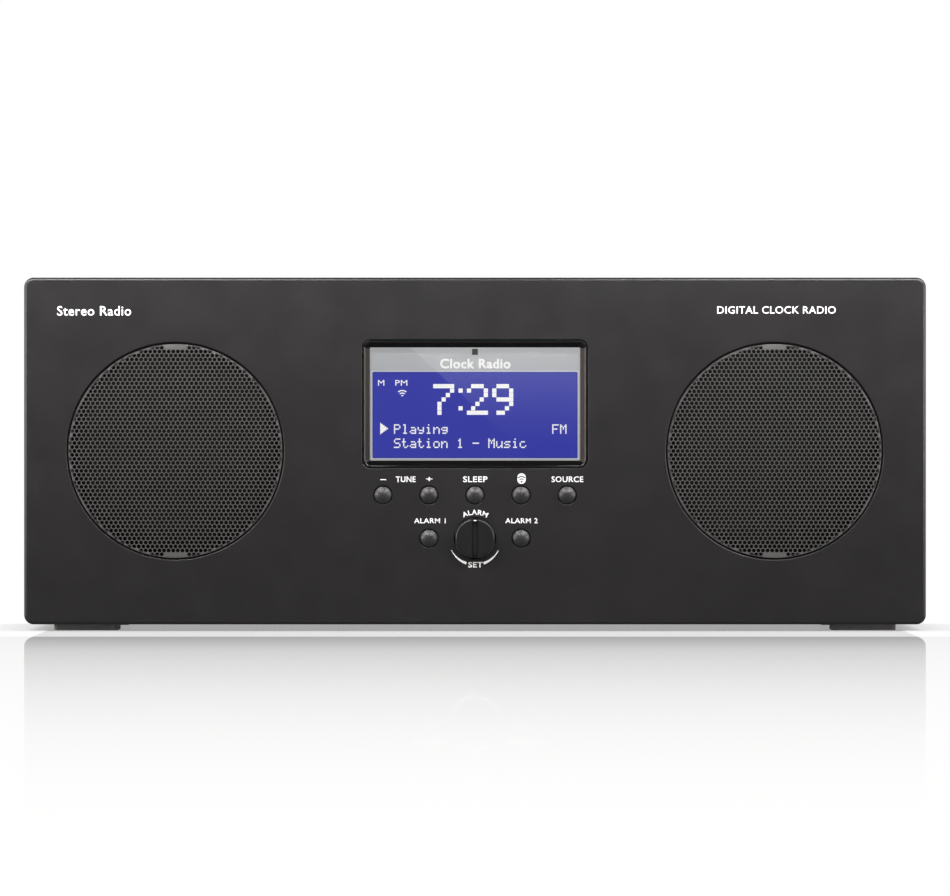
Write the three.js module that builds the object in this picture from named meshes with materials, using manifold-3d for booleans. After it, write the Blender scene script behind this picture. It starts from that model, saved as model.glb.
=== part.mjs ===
// A stereo tabletop radio with a clock display, built as an assembly of separate pieces.
// Millimetres. +Z is up, the front faces -Y, and +X is to the right for someone facing the front.
// The origin is the middle of the object's footprint, on the plane that its feet stand on.

import * as THREE from "three";
import { mergeVertices } from "three/addons/utils/BufferGeometryUtils.js";
import Module from "manifold-3d";

// ---------------------------------------------------------------- driving dimensions

// Gaps
const seam = 0.3; // between two still pieces that meet
const running = 0.4; // around a piece that moves in its opening
const footSeat = 0.05; // between a foot and the cabinet floor
const weld = 0.5; // overlap of two shapes that make one piece
const beyond = 1; // how far a cutting shape passes the face that it cuts

// Cabinet
const width = 286;
const height = 110; // without the feet
const cabinetDepth = 122; // from the panel's face to the sleeve's rear edge
const cornerRadius = 3;
const innerCorner = 1.5;
const wall = 7; // wooden sleeve
const cornerBlock = 15; // square blocks in the sleeve's rear corners
const cornerBlockLength = 20;

// Feet
const footHeight = 2;
const footWidth = 20.6;
const footDepth = 16;
const footCorner = 1.5;
const footFromSide = 9.2;
const footFromEdge = 8; // from the cabinet's front or rear edge

// Front panel
const panelThickness = 4;
const panelEdgeRound = 1.2;
const ribDepth = 6; // frame that locates the panel inside the sleeve
const ribWall = 2.5;

// Loudspeakers
const basketClear = 1.2; // between a loudspeaker and the panel's locating frame
const grilleRadius = 33.9;
const grilleGap = 0.6; // dark ring around a grille
const grilleSunk = 0.7;
const grilleThickness = 1;
const grilleRimDepth = 1; // turned-back rim
const grilleRimWall = 1;
const grilleLedge = 2.4; // seat under a grille's rim
const basketLap = 5.5; // reach of the basket's flange behind the panel
const basketDepth = 24;
const basketSheet = 2;
const coneTravel = 2; // each way
const coneDepth = 10.5;
const conePaper = 0.8;
const capSunk = 5; // from the cone's throat to its dust cap
const formerWall = 0.7;
const formerGap = 0.8; // between the former and the magnet's front plate
const formerLength = 6; // reach of the former behind the basket's depth
const basketWindows = 6;
const surroundWidth = 3.7;
const surroundSheet = 0.5;
const surroundSeat = 0.75; // from the sound opening to the surround
const coilRadius = 10;
const magnetRadius = 24;
const magnetHeight = 18.4;
const magnetPlate = 4;
const magnetStep = 2; // the plates are smaller than the ring between them
const poleSunk = 1.4;

// Display
const displayRise = 14.9; // above the panel's middle
const bezelWidth = 71;
const bezelHeight = 40.2;
const bezelCorner = 2.4;
const bezelChamfer = 2;
const bezelLip = 0.15;
const bezelDepth = 6.4;
const bezelFlange = 2.6; // reach of its flange behind the panel
const bezelFlangeThickness = 1.5;
const lensThickness = 1.5;
const lensLap = 0.8; // reach of the lens behind the bezel's edge
const lensCorner = 0.5;
const windowCorner = 0.4;
const maskThickness = 0.5;
const headerHeight = 7.7; // printed band above the lit area
const litBorder = 0.75;
const lcdThickness = 1.8;
const lcdLap = 1.2;
const backlightThickness = 3.2;
const sensorSize = 1.3;
const sensorDrop = 1.4; // from the top of the window to the sensor's middle

// Buttons and knob
const buttonPitch = 14.6;
const buttonRadius = 2.7;
const buttonGap = 0.3;
const buttonProud = 1.2;
const buttonFlange = 1.1; // reach of the flange that keeps the cap in its hole
const buttonFlangeThickness = 1;
const buttonStem = 1.5;
const upperRowDrop = 8.8; // from the bezel's lower edge to the upper row
const lowerRowDrop = 13.7; // from the upper row to the lower one
const buttonTravel = 1;
const knobRadius = 6.2;
const knobGap = 0.4;
const knobProud = 2.6;
const knobLength = 7.2;
const knobSlotWidth = 1.5;
const knobSlotDepth = 1.4;
const knobRound = 0.6;
const shaftRadius = 3;
const shaftFlat = 2.1; // from the shaft's axis to its flat
const shaftFromFace = 0.6; // from the panel's face to the shaft's front end
const plungerThickness = 1;
const plungerRadius = 2.6;
const knobTravel = 0.5;
const encoderSize = 12.6;
const encoderDepth = 6.2;

// Switch board behind the panel
const boardFace = 12; // its front face, behind the panel's face
const boardThickness = 1.6;
const boardMargin = 12.5; // each side of the bezel
const boardRise = 4; // above the bezel
const boardDrop = 11.3; // below the lower row
const boardCornerInset = 4;
const bossRadius = 3;
const switchSize = 6;
const switchHeight = 3.5;
const boardCorner = 2;

// Keys in the cabinet's top
const keySetback = 32; // from the panel's face to the keys' middle
const keyDepth = 12;
const keyFrameWall = 4;
const keyBar = 2; // bar of the frame between two keys
const volumeKeyWidth = 20;
const snoozeKeyWidth = 30;
const keyCorner = 2;
const keyFrameFlange = 3;
const keyFrameFlangeThickness = 1.7;
const keyFrameCorner = 0.6;
const keyFrameSunk = 0.2;
const keySunk = 0.3;
const keyFlange = 1;
const keyTravel = 1;

// Rear panel
const rearSunk = 2; // inside the sleeve's rear edge
const rearThickness = 3;
const railWall = 4; // shelves under the main board
const railHeight = 4;
const screwInset = 7.5; // from the inside of the sleeve
const screwRadius = 1.5;
const screwLength = 14; // in its corner block
const pilotSpare = 1; // the pilot hole goes this much deeper
const screwHead = 3.2;
const screwHeadHeight = 1.6;
const screwPoint = 2;

// Battery bay
const doorWidth = 92;
const doorHeight = 40;
const doorMiddle = 10; // above the panel's middle
const hingePin = 0.8;
const hingePinLength = 1.6;
const hingePinGap = 0.4;
const notchWidth = 16; // finger notch in the door's top edge
const notchDepth = 3;
const notchFloor = 1; // thickness left under the notch
const trayWall = 1.5;
const trayDepth = 24;
const trayLap = 3; // reach of the tray behind the panel around the door
const cellRadius = 9.2;
const cellPitch = 18.4;
const packLength = 78;

// Bass port
const portRadius = 12;
const portWall = 2;
const portLength = 52;
const portFlange = 4;
const portFlangeThickness = 1.3;

// Main board and its sockets
const mainBoardWidth = 136;
const mainBoardDepth = 72;
const mainBoardClear = 7; // under the board, to the sleeve
const mainBoardFromPanel = 5;
const ribbonWidth = 18;
const ribbonThickness = 0.5;
const ribbonBend = 5;
const ribbonLap = 5; // on the switch board
const ribbonX = 12;
const capacitors = [
  { radius: 5, tall: 14, x: -48, y: -40 },
  { radius: 5, tall: 14, x: -48, y: -54 },
  { radius: 4, tall: 10, x: -34, y: -60 },
  { radius: 4, tall: 10, x: 50, y: -20 },
];
const heatSink = { x: 30, y: -59, width: 30, depth: 10, height: 16, base: 2, fins: 7, fin: 1.2 };
const tunerCan = { x: -8, y: -44, width: 34, depth: 26, height: 7, sheet: 0.6 };
const socketPitch = 20;
const socketFlush = 0.5; // a socket's face below the rear panel's face
const jackBore = 1.8;
const inletBore = 2.9;
const inletPin = 1;
const inletPinSunk = 2;
const socketFloor = 3; // solid behind a socket's bore
const usbShell = 0.5;
const usbTongue = 1.6;
const usbTongueRise = 1.2;
const usbTongueGap = 1.2; // each side of the tongue

// Whip antenna
const antennaFromEnd = 31;
const antennaFromTop = 10; // from the sleeve's inside
const antennaAxisOut = 6.2; // from the rear panel's face to the whip's axis
const whipRadius = 3.3;
const tubeWall = 0.3;
const tubeGap = 0.3;
const whipLength = 200; // pivot to the end of the outer tube
const whipStart = 4.8; // pivot to the start of the outer tube
const whipStep = 1.5; // each inner piece stands out this much further
const tipLength = 4;
const pivotRadius = 1.4;
const eyeThickness = 4.4;
const earThickness = 1.6;
const earRadius = 4.2;
const antennaStem = 3.7;
const antennaFlange = 6.5;
const antennaFlangeThickness = 1.9;
const saddleFromPivot = 172;
const saddleWidth = 6;
const saddleHeight = 5;

// ---------------------------------------------------------------- places worked out

const antennaReach = antennaAxisOut + earRadius - rearSunk;
const overallDepth = knobProud + cabinetDepth + antennaReach;
const frontY = knobProud - overallDepth / 2;
const middleZ = footHeight + height / 2;
const topZ = footHeight + height;
const rearY = frontY + cabinetDepth - rearSunk;
const innerWidth = width - 2 * wall;
const innerHeight = height - 2 * wall;
const soundRadius = grilleRadius - grilleLedge;
const basketRadius = soundRadius + basketLap;
const speakerOffset = innerWidth / 2 - seam - ribWall - basketClear - basketRadius;
const upperRow = displayRise - bezelHeight / 2 - upperRowDrop;
const lowerRow = upperRow - lowerRowDrop;
const buttonHole = buttonRadius + buttonGap;
const boardWidth = bezelWidth + 2 * boardMargin;
const boardTop = displayRise + bezelHeight / 2 + boardRise;
const boardBottom = lowerRow - boardDrop;
const keyFrameDepth = wall + seam + keyFrameFlangeThickness;
const mainBoardRise = mainBoardClear - innerHeight / 2; // its underside, from the panel's middle
const antennaX = width / 2 - antennaFromEnd;
const antennaRise = innerHeight / 2 - antennaFromTop;
const saddleX = antennaX - saddleFromPivot;
const lensFace = bezelChamfer + bezelLip + seam;
const windowWidth = bezelWidth - 2 * (bezelChamfer + bezelLip);
const windowHeight = bezelHeight - 2 * (bezelChamfer + bezelLip);
const maskFace = lensFace + lensThickness + seam;
const lcdFace = maskFace + maskThickness + seam;
const litHeight = windowHeight - headerHeight - litBorder;
const litMiddle = (litBorder - headerHeight) / 2; // from the window's middle
const rearPanelFront = -rearThickness - seam; // first free plane inside the rear panel
const boardY = -mainBoardFromPanel - rearThickness;
const mainBoardTop = mainBoardRise + boardThickness;
const shaftEnd = boardFace - 3 * seam - knobTravel - plungerThickness;
const coneFront = panelThickness + coneTravel - 0.2; // the cone's edge, at rest
const surroundOuter = soundRadius - surroundSeat;
const formerRadius = coilRadius + conePaper / 4;
const doorBottom = doorMiddle - doorHeight / 2;
const hingeRadius = rearThickness / 2;
const hingeZ = doorBottom + hingeRadius;
const keyFrameWidth = 2 * volumeKeyWidth + snoozeKeyWidth + 2 * keyBar + 6 * running + 2 * keyFrameWall;
const keyFrameLength = keyDepth + 2 * running + 2 * keyFrameWall;
const ROUND = { fine: 36, medium: 20, small: 12 };

// ---------------------------------------------------------------- shape helpers

const wasm = await Module();
wasm.setup();

// A closed geometry as a solid that can be cut and joined.
function toSolid(geometry) {
  const bare = geometry.index ? geometry.toNonIndexed() : geometry.clone();
  bare.deleteAttribute("normal");
  bare.deleteAttribute("uv");
  const merged = mergeVertices(bare, 1e-3);
  return new wasm.Manifold(
    new wasm.Mesh({
      numProp: 3,
      vertProperties: merged.attributes.position.array,
      triVerts: new Uint32Array(merged.index.array),
    }),
  );
}

function toGeometry(solid) {
  const mesh = solid.getMesh();
  return new THREE.BufferGeometry()
    .setAttribute("position", new THREE.BufferAttribute(mesh.vertProperties, 3))
    .setIndex(new THREE.BufferAttribute(mesh.triVerts, 1));
}

// The first geometry with the others cut out of it.
function cut(body, ...tools) {
  return toGeometry(tools.reduce((left, tool) => left.subtract(toSolid(tool)), toSolid(body)));
}

// The geometries as one body.
function join(body, ...others) {
  return toGeometry(others.reduce((all, other) => all.add(toSolid(other)), toSolid(body)));
}

function box(sizeX, sizeY, sizeZ, x = 0, y = 0, z = 0) {
  return new THREE.BoxGeometry(sizeX, sizeY, sizeZ).translate(x, y, z);
}

function roundedRectangle(w, h, r, x = 0, y = 0) {
  const shape = new THREE.Shape();
  const right = x + w / 2 - r;
  const left = x - w / 2 + r;
  const top = y + h / 2 - r;
  const bottom = y - h / 2 + r;
  shape.absarc(right, top, r, 0, Math.PI / 2);
  shape.absarc(left, top, r, Math.PI / 2, Math.PI);
  shape.absarc(left, bottom, r, Math.PI, 1.5 * Math.PI);
  shape.absarc(right, bottom, r, 1.5 * Math.PI, 2 * Math.PI);
  shape.closePath();
  return shape;
}

// A shape drawn in X and Z, from one depth to another behind the panel's face.
function slab(shape, fromY, toY, curveSegments = 3) {
  return new THREE.ExtrudeGeometry(shape, { depth: toY - fromY, bevelEnabled: false, curveSegments })
    .rotateX(Math.PI / 2)
    .translate(0, toY, 0);
}

// A shape drawn in X and Y, from one height to another.
function plate(shape, fromZ, toZ, curveSegments = 3) {
  return new THREE.ExtrudeGeometry(shape, {
    depth: toZ - fromZ,
    bevelEnabled: false,
    curveSegments,
  }).translate(0, 0, fromZ);
}

// A turned piece about Y. The profile is a list of [radius, y] that starts and ends on the axis
// or is closed here on itself, in either direction.
function turned(profile, segments = ROUND.medium) {
  const points = profile.map(([r, y]) => new THREE.Vector2(r, y));
  const touchesAxis = points[0].x === 0 && points.at(-1).x === 0;
  if (!touchesAxis) points.push(points[0].clone());
  if (THREE.ShapeUtils.area(points) < 0) points.reverse();
  return new THREE.LatheGeometry(points, segments);
}

function cylinder(radius, fromY, toY, x = 0, z = 0, segments = ROUND.medium) {
  return turned([[0, fromY], [radius, fromY], [radius, toY], [0, toY]], segments).translate(x, 0, z);
}

// Points of an arc in a turned profile, in [radius, y].
function arc(centreR, centreY, radius, fromAngle, toAngle, steps) {
  return Array.from({ length: steps + 1 }, (_, i) => {
    const angle = fromAngle + ((toAngle - fromAngle) * i) / steps;
    return [centreR + radius * Math.cos(angle), centreY + radius * Math.sin(angle)];
  });
}

function finish(color, roughness, metalness = 0) {
  return new THREE.MeshStandardMaterial({ color, roughness, metalness });
}

const finishes = {
  wood: finish(0x232122, 0.55),
  panel: finish(0x2c2a2b, 0.5),
  gloss: finish(0x0c0c0d, 0.15),
  grille: finish(0x6d6a68, 0.4, 0.8),
  lens: finish(0xe8ecf0, 0.05),
  mask: finish(0xb0b2b4, 0.5),
  lcd: finish(0x3a3ca4, 0.3),
  light: finish(0xf2f4ff, 0.5),
  rubber: finish(0x1b1b1c, 0.9),
  board: finish(0x1d5a33, 0.5),
  steel: finish(0x9a9c9f, 0.3, 1),
  chrome: finish(0xc8cacc, 0.15, 1),
  cone: finish(0x1a1a1b, 0.8),
  wrap: finish(0x1f4fa0, 0.35),
};

function piece(name, geometry, material, x = 0, y = 0, z = 0) {
  const mesh = new THREE.Mesh(geometry, material);
  mesh.name = name;
  mesh.position.set(x, y, z);
  return mesh;
}

// ---------------------------------------------------------------- where things are

const buttons = [
  { name: "tune_down_button", x: -2 * buttonPitch, z: upperRow },
  { name: "tune_up_button", x: -buttonPitch, z: upperRow },
  { name: "sleep_button", x: 0, z: upperRow },
  { name: "pairing_button", x: buttonPitch, z: upperRow },
  { name: "source_button", x: 2 * buttonPitch, z: upperRow },
  { name: "alarm_1_button", x: -buttonPitch, z: lowerRow },
  { name: "alarm_2_button", x: buttonPitch, z: lowerRow },
];

const speakers = [
  { side: "left", x: -speakerOffset },
  { side: "right", x: speakerOffset },
];

const boardCorners = [-1, 1].flatMap((sx) =>
  [boardTop - boardCornerInset, boardBottom + boardCornerInset].map((z) => ({
    x: sx * (boardWidth / 2 - boardCornerInset),
    z,
  })),
);

const screwPlaces = [-1, 1].flatMap((sx) =>
  [-1, 1].map((sz) => ({
    x: sx * (innerWidth / 2 - screwInset),
    z: sz * (innerHeight / 2 - screwInset),
  })),
);

const sockets = [
  { name: "dc_jack", x: -1.5 * socketPitch, size: [9, 13, 11], bore: inletBore, nose: 4.2 },
  { name: "aux_jack", x: -0.5 * socketPitch, size: [8, 12, 7.4], bore: jackBore, nose: 3.4 },
  { name: "headphone_jack", x: 0.5 * socketPitch, size: [8, 12, 7.4], bore: jackBore, nose: 3.4 },
];
const usb = { name: "usb_port", x: 1.5 * socketPitch, size: [13.2, 14, 6] };
for (const socket of [...sockets, usb]) socket.z = mainBoardTop + seam + socket.size[2] / 2;

// ---------------------------------------------------------------- cabinet

function cabinetSleeve() {
  const outline = roundedRectangle(width, height, cornerRadius);
  outline.holes.push(roundedRectangle(innerWidth, innerHeight, innerCorner));
  const front = panelThickness + seam;
  const sleeve = slab(outline, front, cabinetDepth);
  const blockBack = cabinetDepth - rearSunk + rearPanelFront;
  const blocks = [-1, 1].flatMap((sx) =>
    [-1, 1].map((sz) =>
      box(
        cornerBlock + weld,
        cornerBlockLength,
        cornerBlock + weld,
        (sx * (innerWidth - cornerBlock + weld)) / 2,
        blockBack - cornerBlockLength / 2,
        (sz * (innerHeight - cornerBlock + weld)) / 2,
      ),
    ),
  );
  const pilots = screwPlaces.map(({ x, z }) =>
    cylinder(
      screwRadius + seam,
      blockBack - screwLength - pilotSpare,
      cabinetDepth,
      x,
      z,
      ROUND.small,
    ),
  );
  const keyCut = box(
    keyFrameWidth + 2 * seam,
    keyFrameLength + 2 * seam,
    2 * wall,
    0,
    keySetback,
    height / 2,
  );
  return cut(join(sleeve, ...blocks), ...pilots, keyCut);
}

function foot() {
  return plate(roundedRectangle(footWidth, footDepth, footCorner), 0, footHeight - footSeat);
}

// ---------------------------------------------------------------- front panel

function frontPanel() {
  const blank = new THREE.ExtrudeGeometry(
    roundedRectangle(
      width - 2 * panelEdgeRound,
      height - 2 * panelEdgeRound,
      cornerRadius - panelEdgeRound,
    ),
    {
      depth: panelThickness,
      bevelThickness: panelEdgeRound,
      bevelSize: panelEdgeRound,
      bevelSegments: 2,
      curveSegments: 4,
    },
  )
    .rotateX(Math.PI / 2)
    .translate(0, panelThickness + panelEdgeRound, 0);
  const behind = box(2 * width, width, 2 * height, 0, panelThickness + width / 2, 0);
  const rib = roundedRectangle(innerWidth - 2 * seam, innerHeight - 2 * seam, innerCorner);
  rib.holes.push(
    roundedRectangle(
      innerWidth - 2 * seam - 2 * ribWall,
      innerHeight - 2 * seam - 2 * ribWall,
      innerCorner,
    ),
  );
  const ribFrame = slab(rib, panelThickness - weld, panelThickness + ribDepth);
  const bosses = boardCorners.map(({ x, z }) =>
    cylinder(bossRadius, panelThickness - weld, boardFace - seam, x, z, ROUND.small),
  );
  const past = panelThickness + beyond;
  const ledge = grilleSunk + grilleThickness + grilleRimDepth + seam;
  const openings = [
    ...speakers.map(({ x }) =>
      turned(
        [
          [0, -beyond],
          [grilleRadius + grilleGap, -beyond],
          [grilleRadius + grilleGap, ledge],
          [soundRadius, ledge],
          [soundRadius, past],
          [0, past],
        ],
        ROUND.fine,
      ).translate(x, 0, 0),
    ),
    slab(
      roundedRectangle(bezelWidth + 2 * seam, bezelHeight + 2 * seam, bezelCorner + seam, 0, displayRise),
      -beyond,
      past,
    ),
    ...buttons.map(({ x, z }) => cylinder(buttonHole, -beyond, past, x, z, ROUND.small)),
    cylinder(knobRadius + knobGap, -beyond, past, 0, lowerRow),
  ];
  return cut(join(cut(blank, behind), ribFrame, ...bosses), ...openings);
}

// A flat disc with its rim turned back, which seats on the ledge in the panel.
function grille() {
  const back = grilleSunk + grilleThickness;
  return turned(
    [
      [0, grilleSunk],
      [grilleRadius, grilleSunk],
      [grilleRadius, back + grilleRimDepth],
      [grilleRadius - grilleRimWall, back + grilleRimDepth],
      [grilleRadius - grilleRimWall, back],
      [0, back],
    ],
    ROUND.fine,
  );
}

// ---------------------------------------------------------------- display

// A frame whose inner walls slope in to the window, with a pocket for the lens behind them.
function displayBezel() {
  const body = slab(
    roundedRectangle(bezelWidth, bezelHeight, bezelCorner, 0, displayRise),
    0,
    bezelDepth,
  );
  const flange = slab(
    roundedRectangle(
      bezelWidth + 2 * bezelFlange,
      bezelHeight + 2 * bezelFlange,
      bezelCorner,
      0,
      displayRise,
    ),
    panelThickness + seam,
    panelThickness + seam + bezelFlangeThickness,
  );
  const opening = roundedRectangle(windowWidth, windowHeight, windowCorner, 0, displayRise);
  const funnel = new THREE.ExtrudeGeometry(opening, {
    depth: bezelChamfer,
    bevelThickness: bezelChamfer,
    bevelSize: bezelChamfer,
    bevelSegments: 1,
    curveSegments: 3,
  }).rotateX(Math.PI / 2);
  const window = slab(opening, bezelChamfer - bezelLip / 2, bezelDepth + beyond);
  const pocket = slab(
    roundedRectangle(
      windowWidth + 2 * (lensLap + seam),
      windowHeight + 2 * (lensLap + seam),
      lensCorner + seam,
      0,
      displayRise,
    ),
    bezelChamfer + bezelLip,
    bezelDepth + beyond,
  );
  return cut(join(body, flange), funnel, window, pocket);
}

function displayLens() {
  return slab(lensOutline(), lensFace, lensFace + lensThickness, 2);
}

function lensOutline() {
  return roundedRectangle(
    windowWidth + 2 * lensLap,
    windowHeight + 2 * lensLap,
    lensCorner,
    0,
    displayRise,
  );
}

function sensorHeight() {
  return displayRise + windowHeight / 2 - sensorDrop;
}

// The printed band and border around the lit area, with a hole for the remote sensor.
function displayMask() {
  const outline = lensOutline();
  const litWidth = windowWidth - 2 * litBorder;
  const sensorHole = sensorSize + 2 * seam;
  outline.holes.push(
    roundedRectangle(litWidth, litHeight, windowCorner, 0, displayRise + litMiddle),
    roundedRectangle(sensorHole, sensorHole, windowCorner / 4, 0, sensorHeight()),
  );
  return slab(outline, maskFace, maskFace + maskThickness, 2);
}

function litPlate(fromY, toY) {
  return box(
    windowWidth - 2 * litBorder + 2 * lcdLap,
    toY - fromY,
    litHeight + 2 * lcdLap,
    0,
    (fromY + toY) / 2,
    displayRise + litMiddle,
  );
}

function remoteSensor() {
  const depth = lcdFace + lcdThickness - maskFace;
  return box(sensorSize, depth, sensorSize, 0, maskFace + depth / 2, sensorHeight());
}

// ---------------------------------------------------------------- buttons and knob

// A domed cap, a flange that stops it from falling out, and the stem that meets its switch.
function button() {
  const flangeFront = panelThickness + seam;
  const stemEnd = boardFace - switchHeight - buttonTravel - seam;
  const domeRadius = (buttonRadius ** 2 + buttonProud ** 2) / (2 * buttonProud);
  const half = Math.asin(buttonRadius / domeRadius);
  const dome = arc(0, domeRadius - buttonProud, domeRadius, -Math.PI / 2, -Math.PI / 2 + half, 3);
  dome[0][0] = 0;
  return turned(
    [
      ...dome,
      [buttonRadius, flangeFront],
      [buttonRadius + buttonFlange, flangeFront],
      [buttonRadius + buttonFlange, flangeFront + buttonFlangeThickness],
      [buttonStem, flangeFront + buttonFlangeThickness],
      [buttonStem, stemEnd],
      [0, stemEnd],
    ],
    ROUND.small,
  );
}

// A round rod along Y with one flat side.
function flattedRod(radius, flat, fromY, toY) {
  const reach = 2 * radius;
  return cut(
    cylinder(radius, fromY, toY),
    box(2 * reach, toY - fromY + 2 * beyond, reach, 0, (fromY + toY) / 2, flat + reach / 2),
  );
}

function alarmKnob() {
  const back = knobLength - knobProud;
  const body = turned([
    [0, -knobProud],
    ...arc(knobRadius - knobRound, knobRound - knobProud, knobRound, -Math.PI / 2, 0, 3),
    [knobRadius, back],
    [0, back],
  ]);
  const slot = box(knobSlotWidth, 2 * knobSlotDepth, 3 * knobRadius, 0, -knobProud, 0);
  const bore = flattedRod(shaftRadius + seam, shaftFlat + seam, shaftFromFace - seam, knobLength);
  return cut(body, slot, bore);
}

function encoderBody() {
  const back = boardFace - seam;
  const shell = box(encoderSize, encoderDepth, encoderSize, 0, back - encoderDepth / 2, 0);
  return cut(shell, cylinder(shaftRadius + seam, back - encoderDepth - beyond, boardFace));
}

// The board behind the panel, with one push switch behind each button.
function keyBoard() {
  const outline = roundedRectangle(
    boardWidth,
    boardTop - boardBottom,
    boardCorner,
    0,
    (boardTop + boardBottom) / 2,
  );
  const sheet = slab(outline, boardFace, boardFace + boardThickness);
  const switches = buttons.map(({ x, z }) =>
    box(switchSize, switchHeight + weld, switchSize, x, boardFace - (switchHeight - weld) / 2, z),
  );
  const past = boardFace + boardThickness + beyond;
  const holes = boardCorners.map(({ x, z }) =>
    cylinder(screwRadius, boardFace - beyond, past, x, z, ROUND.small),
  );
  return cut(join(sheet, ...switches), ...holes);
}

// ---------------------------------------------------------------- loudspeaker

function speakerBasket() {
  const front = panelThickness + seam;
  const flangeBack = front + basketSheet;
  const back = front + basketDepth;
  const bore = surroundOuter + seam;
  const frameRadius = bore + basketSheet;
  const ringRadius = magnetRadius - magnetStep;
  const coilHole = formerRadius + formerGap;
  const body = turned(
    [
      [basketRadius, front],
      [basketRadius, flangeBack],
      [frameRadius, flangeBack],
      [ringRadius, back],
      [coilHole, back],
      [coilHole, back - basketSheet],
      [ringRadius - basketSheet / 2, back - basketSheet],
      [bore, flangeBack],
      [bore, front],
    ],
    ROUND.medium,
  );
  const spokeAngle = Math.PI / basketWindows;
  const windowDepth = basketDepth - basketSheet - ringRadius / 3;
  const windowReach = basketRadius - ringRadius;
  const windows = Array.from({ length: basketWindows }, (_, i) =>
    box(
      frameRadius * Math.sin(spokeAngle),
      windowDepth,
      windowReach,
      0,
      flangeBack + basketSheet + windowDepth / 2,
      ringRadius + windowReach / 2 + 1,
    ).rotateY((2 * i + 1) * spokeAngle),
  );
  return cut(body, ...windows);
}

// Paper cone, dust cap and voice-coil former, which move as one.
function speakerCone() {
  const edge = surroundOuter - surroundWidth - seam;
  const throat = coneFront + coneDepth;
  const capFront = throat - capSunk;
  const formerInside = formerRadius - formerWall;
  const formerEnd = panelThickness + basketDepth + formerLength;
  return turned(
    [
      [0, capFront],
      [coilRadius / 2, capFront + capSunk / 5],
      [coilRadius, capFront + (2 * capSunk) / 3],
      [edge, coneFront],
      [edge, coneFront + conePaper],
      [formerRadius, throat + conePaper],
      [formerRadius, formerEnd],
      [formerInside, formerEnd],
      [formerInside, throat - formerWall / 2],
      [0, capFront + conePaper],
    ],
    ROUND.medium,
  );
}

// Half-roll rubber ring between the cone and the basket.
function speakerSurround() {
  const roll = surroundWidth / 2;
  const middle = surroundOuter - roll;
  const base = coneFront + surroundSheet;
  return turned(
    [
      ...arc(middle, base, roll, Math.PI, 2 * Math.PI, 4),
      ...arc(middle, base, roll - surroundSheet, 2 * Math.PI, Math.PI, 4),
    ],
    ROUND.medium,
  );
}

// Back plate, magnet ring, front plate and pole around the voice coil's gap.
function speakerMagnet() {
  const front = panelThickness + 2 * seam + basketDepth;
  const back = front + magnetHeight;
  const plateBack = front + magnetPlate;
  const pole = formerRadius - formerWall - 2 * seam;
  const gapOutside = formerRadius + formerGap;
  const plateRadius = magnetRadius - magnetStep;
  return turned(
    [
      [0, front + poleSunk],
      [pole, front + poleSunk],
      [pole, back - magnetPlate],
      [gapOutside + 1, back - magnetPlate],
      [gapOutside + 1, plateBack],
      [gapOutside, plateBack],
      [gapOutside, front],
      [plateRadius, front],
      [plateRadius, plateBack],
      [magnetRadius, plateBack],
      [magnetRadius, back - magnetPlate],
      [plateRadius, back],
      [0, back],
    ],
    ROUND.medium,
  );
}

// ---------------------------------------------------------------- keys in the top

const keyStep = (volumeKeyWidth + snoozeKeyWidth) / 2 + keyBar + 2 * running;
const keys = [
  { name: "volume_down_key", x: -keyStep, width: volumeKeyWidth },
  { name: "snooze_power_key", x: 0, width: snoozeKeyWidth },
  { name: "volume_up_key", x: keyStep, width: volumeKeyWidth },
];

function keyFrame() {
  const body = plate(
    roundedRectangle(keyFrameWidth, keyFrameLength, keyFrameCorner),
    -keyFrameDepth,
    -keyFrameSunk,
    2,
  );
  const flange = plate(
    roundedRectangle(
      keyFrameWidth + 2 * keyFrameFlange,
      keyFrameLength + 2 * keyFrameFlange,
      keyCorner,
    ),
    -keyFrameDepth,
    -wall - seam,
    2,
  );
  const openings = keys.map((key) =>
    plate(
      roundedRectangle(key.width + 2 * running, keyDepth + 2 * running, keyCorner + running, key.x),
      -keyFrameDepth - beyond,
      beyond,
    ),
  );
  return cut(join(body, flange), ...openings);
}

function key({ width: keyWidth }) {
  const flangeTop = -keyFrameDepth - seam;
  const body = plate(
    roundedRectangle(keyWidth, keyDepth, keyCorner),
    flangeTop - keyFlange / 2,
    -keySunk,
  );
  const flange = plate(
    roundedRectangle(keyWidth + 2 * keyFlange, keyDepth + 2 * keyFlange, keyCorner),
    flangeTop - keyFlange,
    flangeTop,
  );
  return join(body, flange);
}

// The board under the keys, with one push switch behind each of them.
function topSwitchBoard() {
  const switchTop = -keyFrameDepth - 2 * seam - keyFlange - keyTravel;
  const face = switchTop - switchHeight;
  const sheetZ = face - boardThickness / 2;
  const sheet = box(keyFrameWidth, keyFrameLength, boardThickness, 0, 0, sheetZ);
  const switches = keys.map(({ x }) =>
    box(switchSize, switchSize, switchHeight + weld, x, 0, switchTop - (switchHeight + weld) / 2),
  );
  return join(sheet, ...switches);
}

// ---------------------------------------------------------------- rear panel and battery bay

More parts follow.
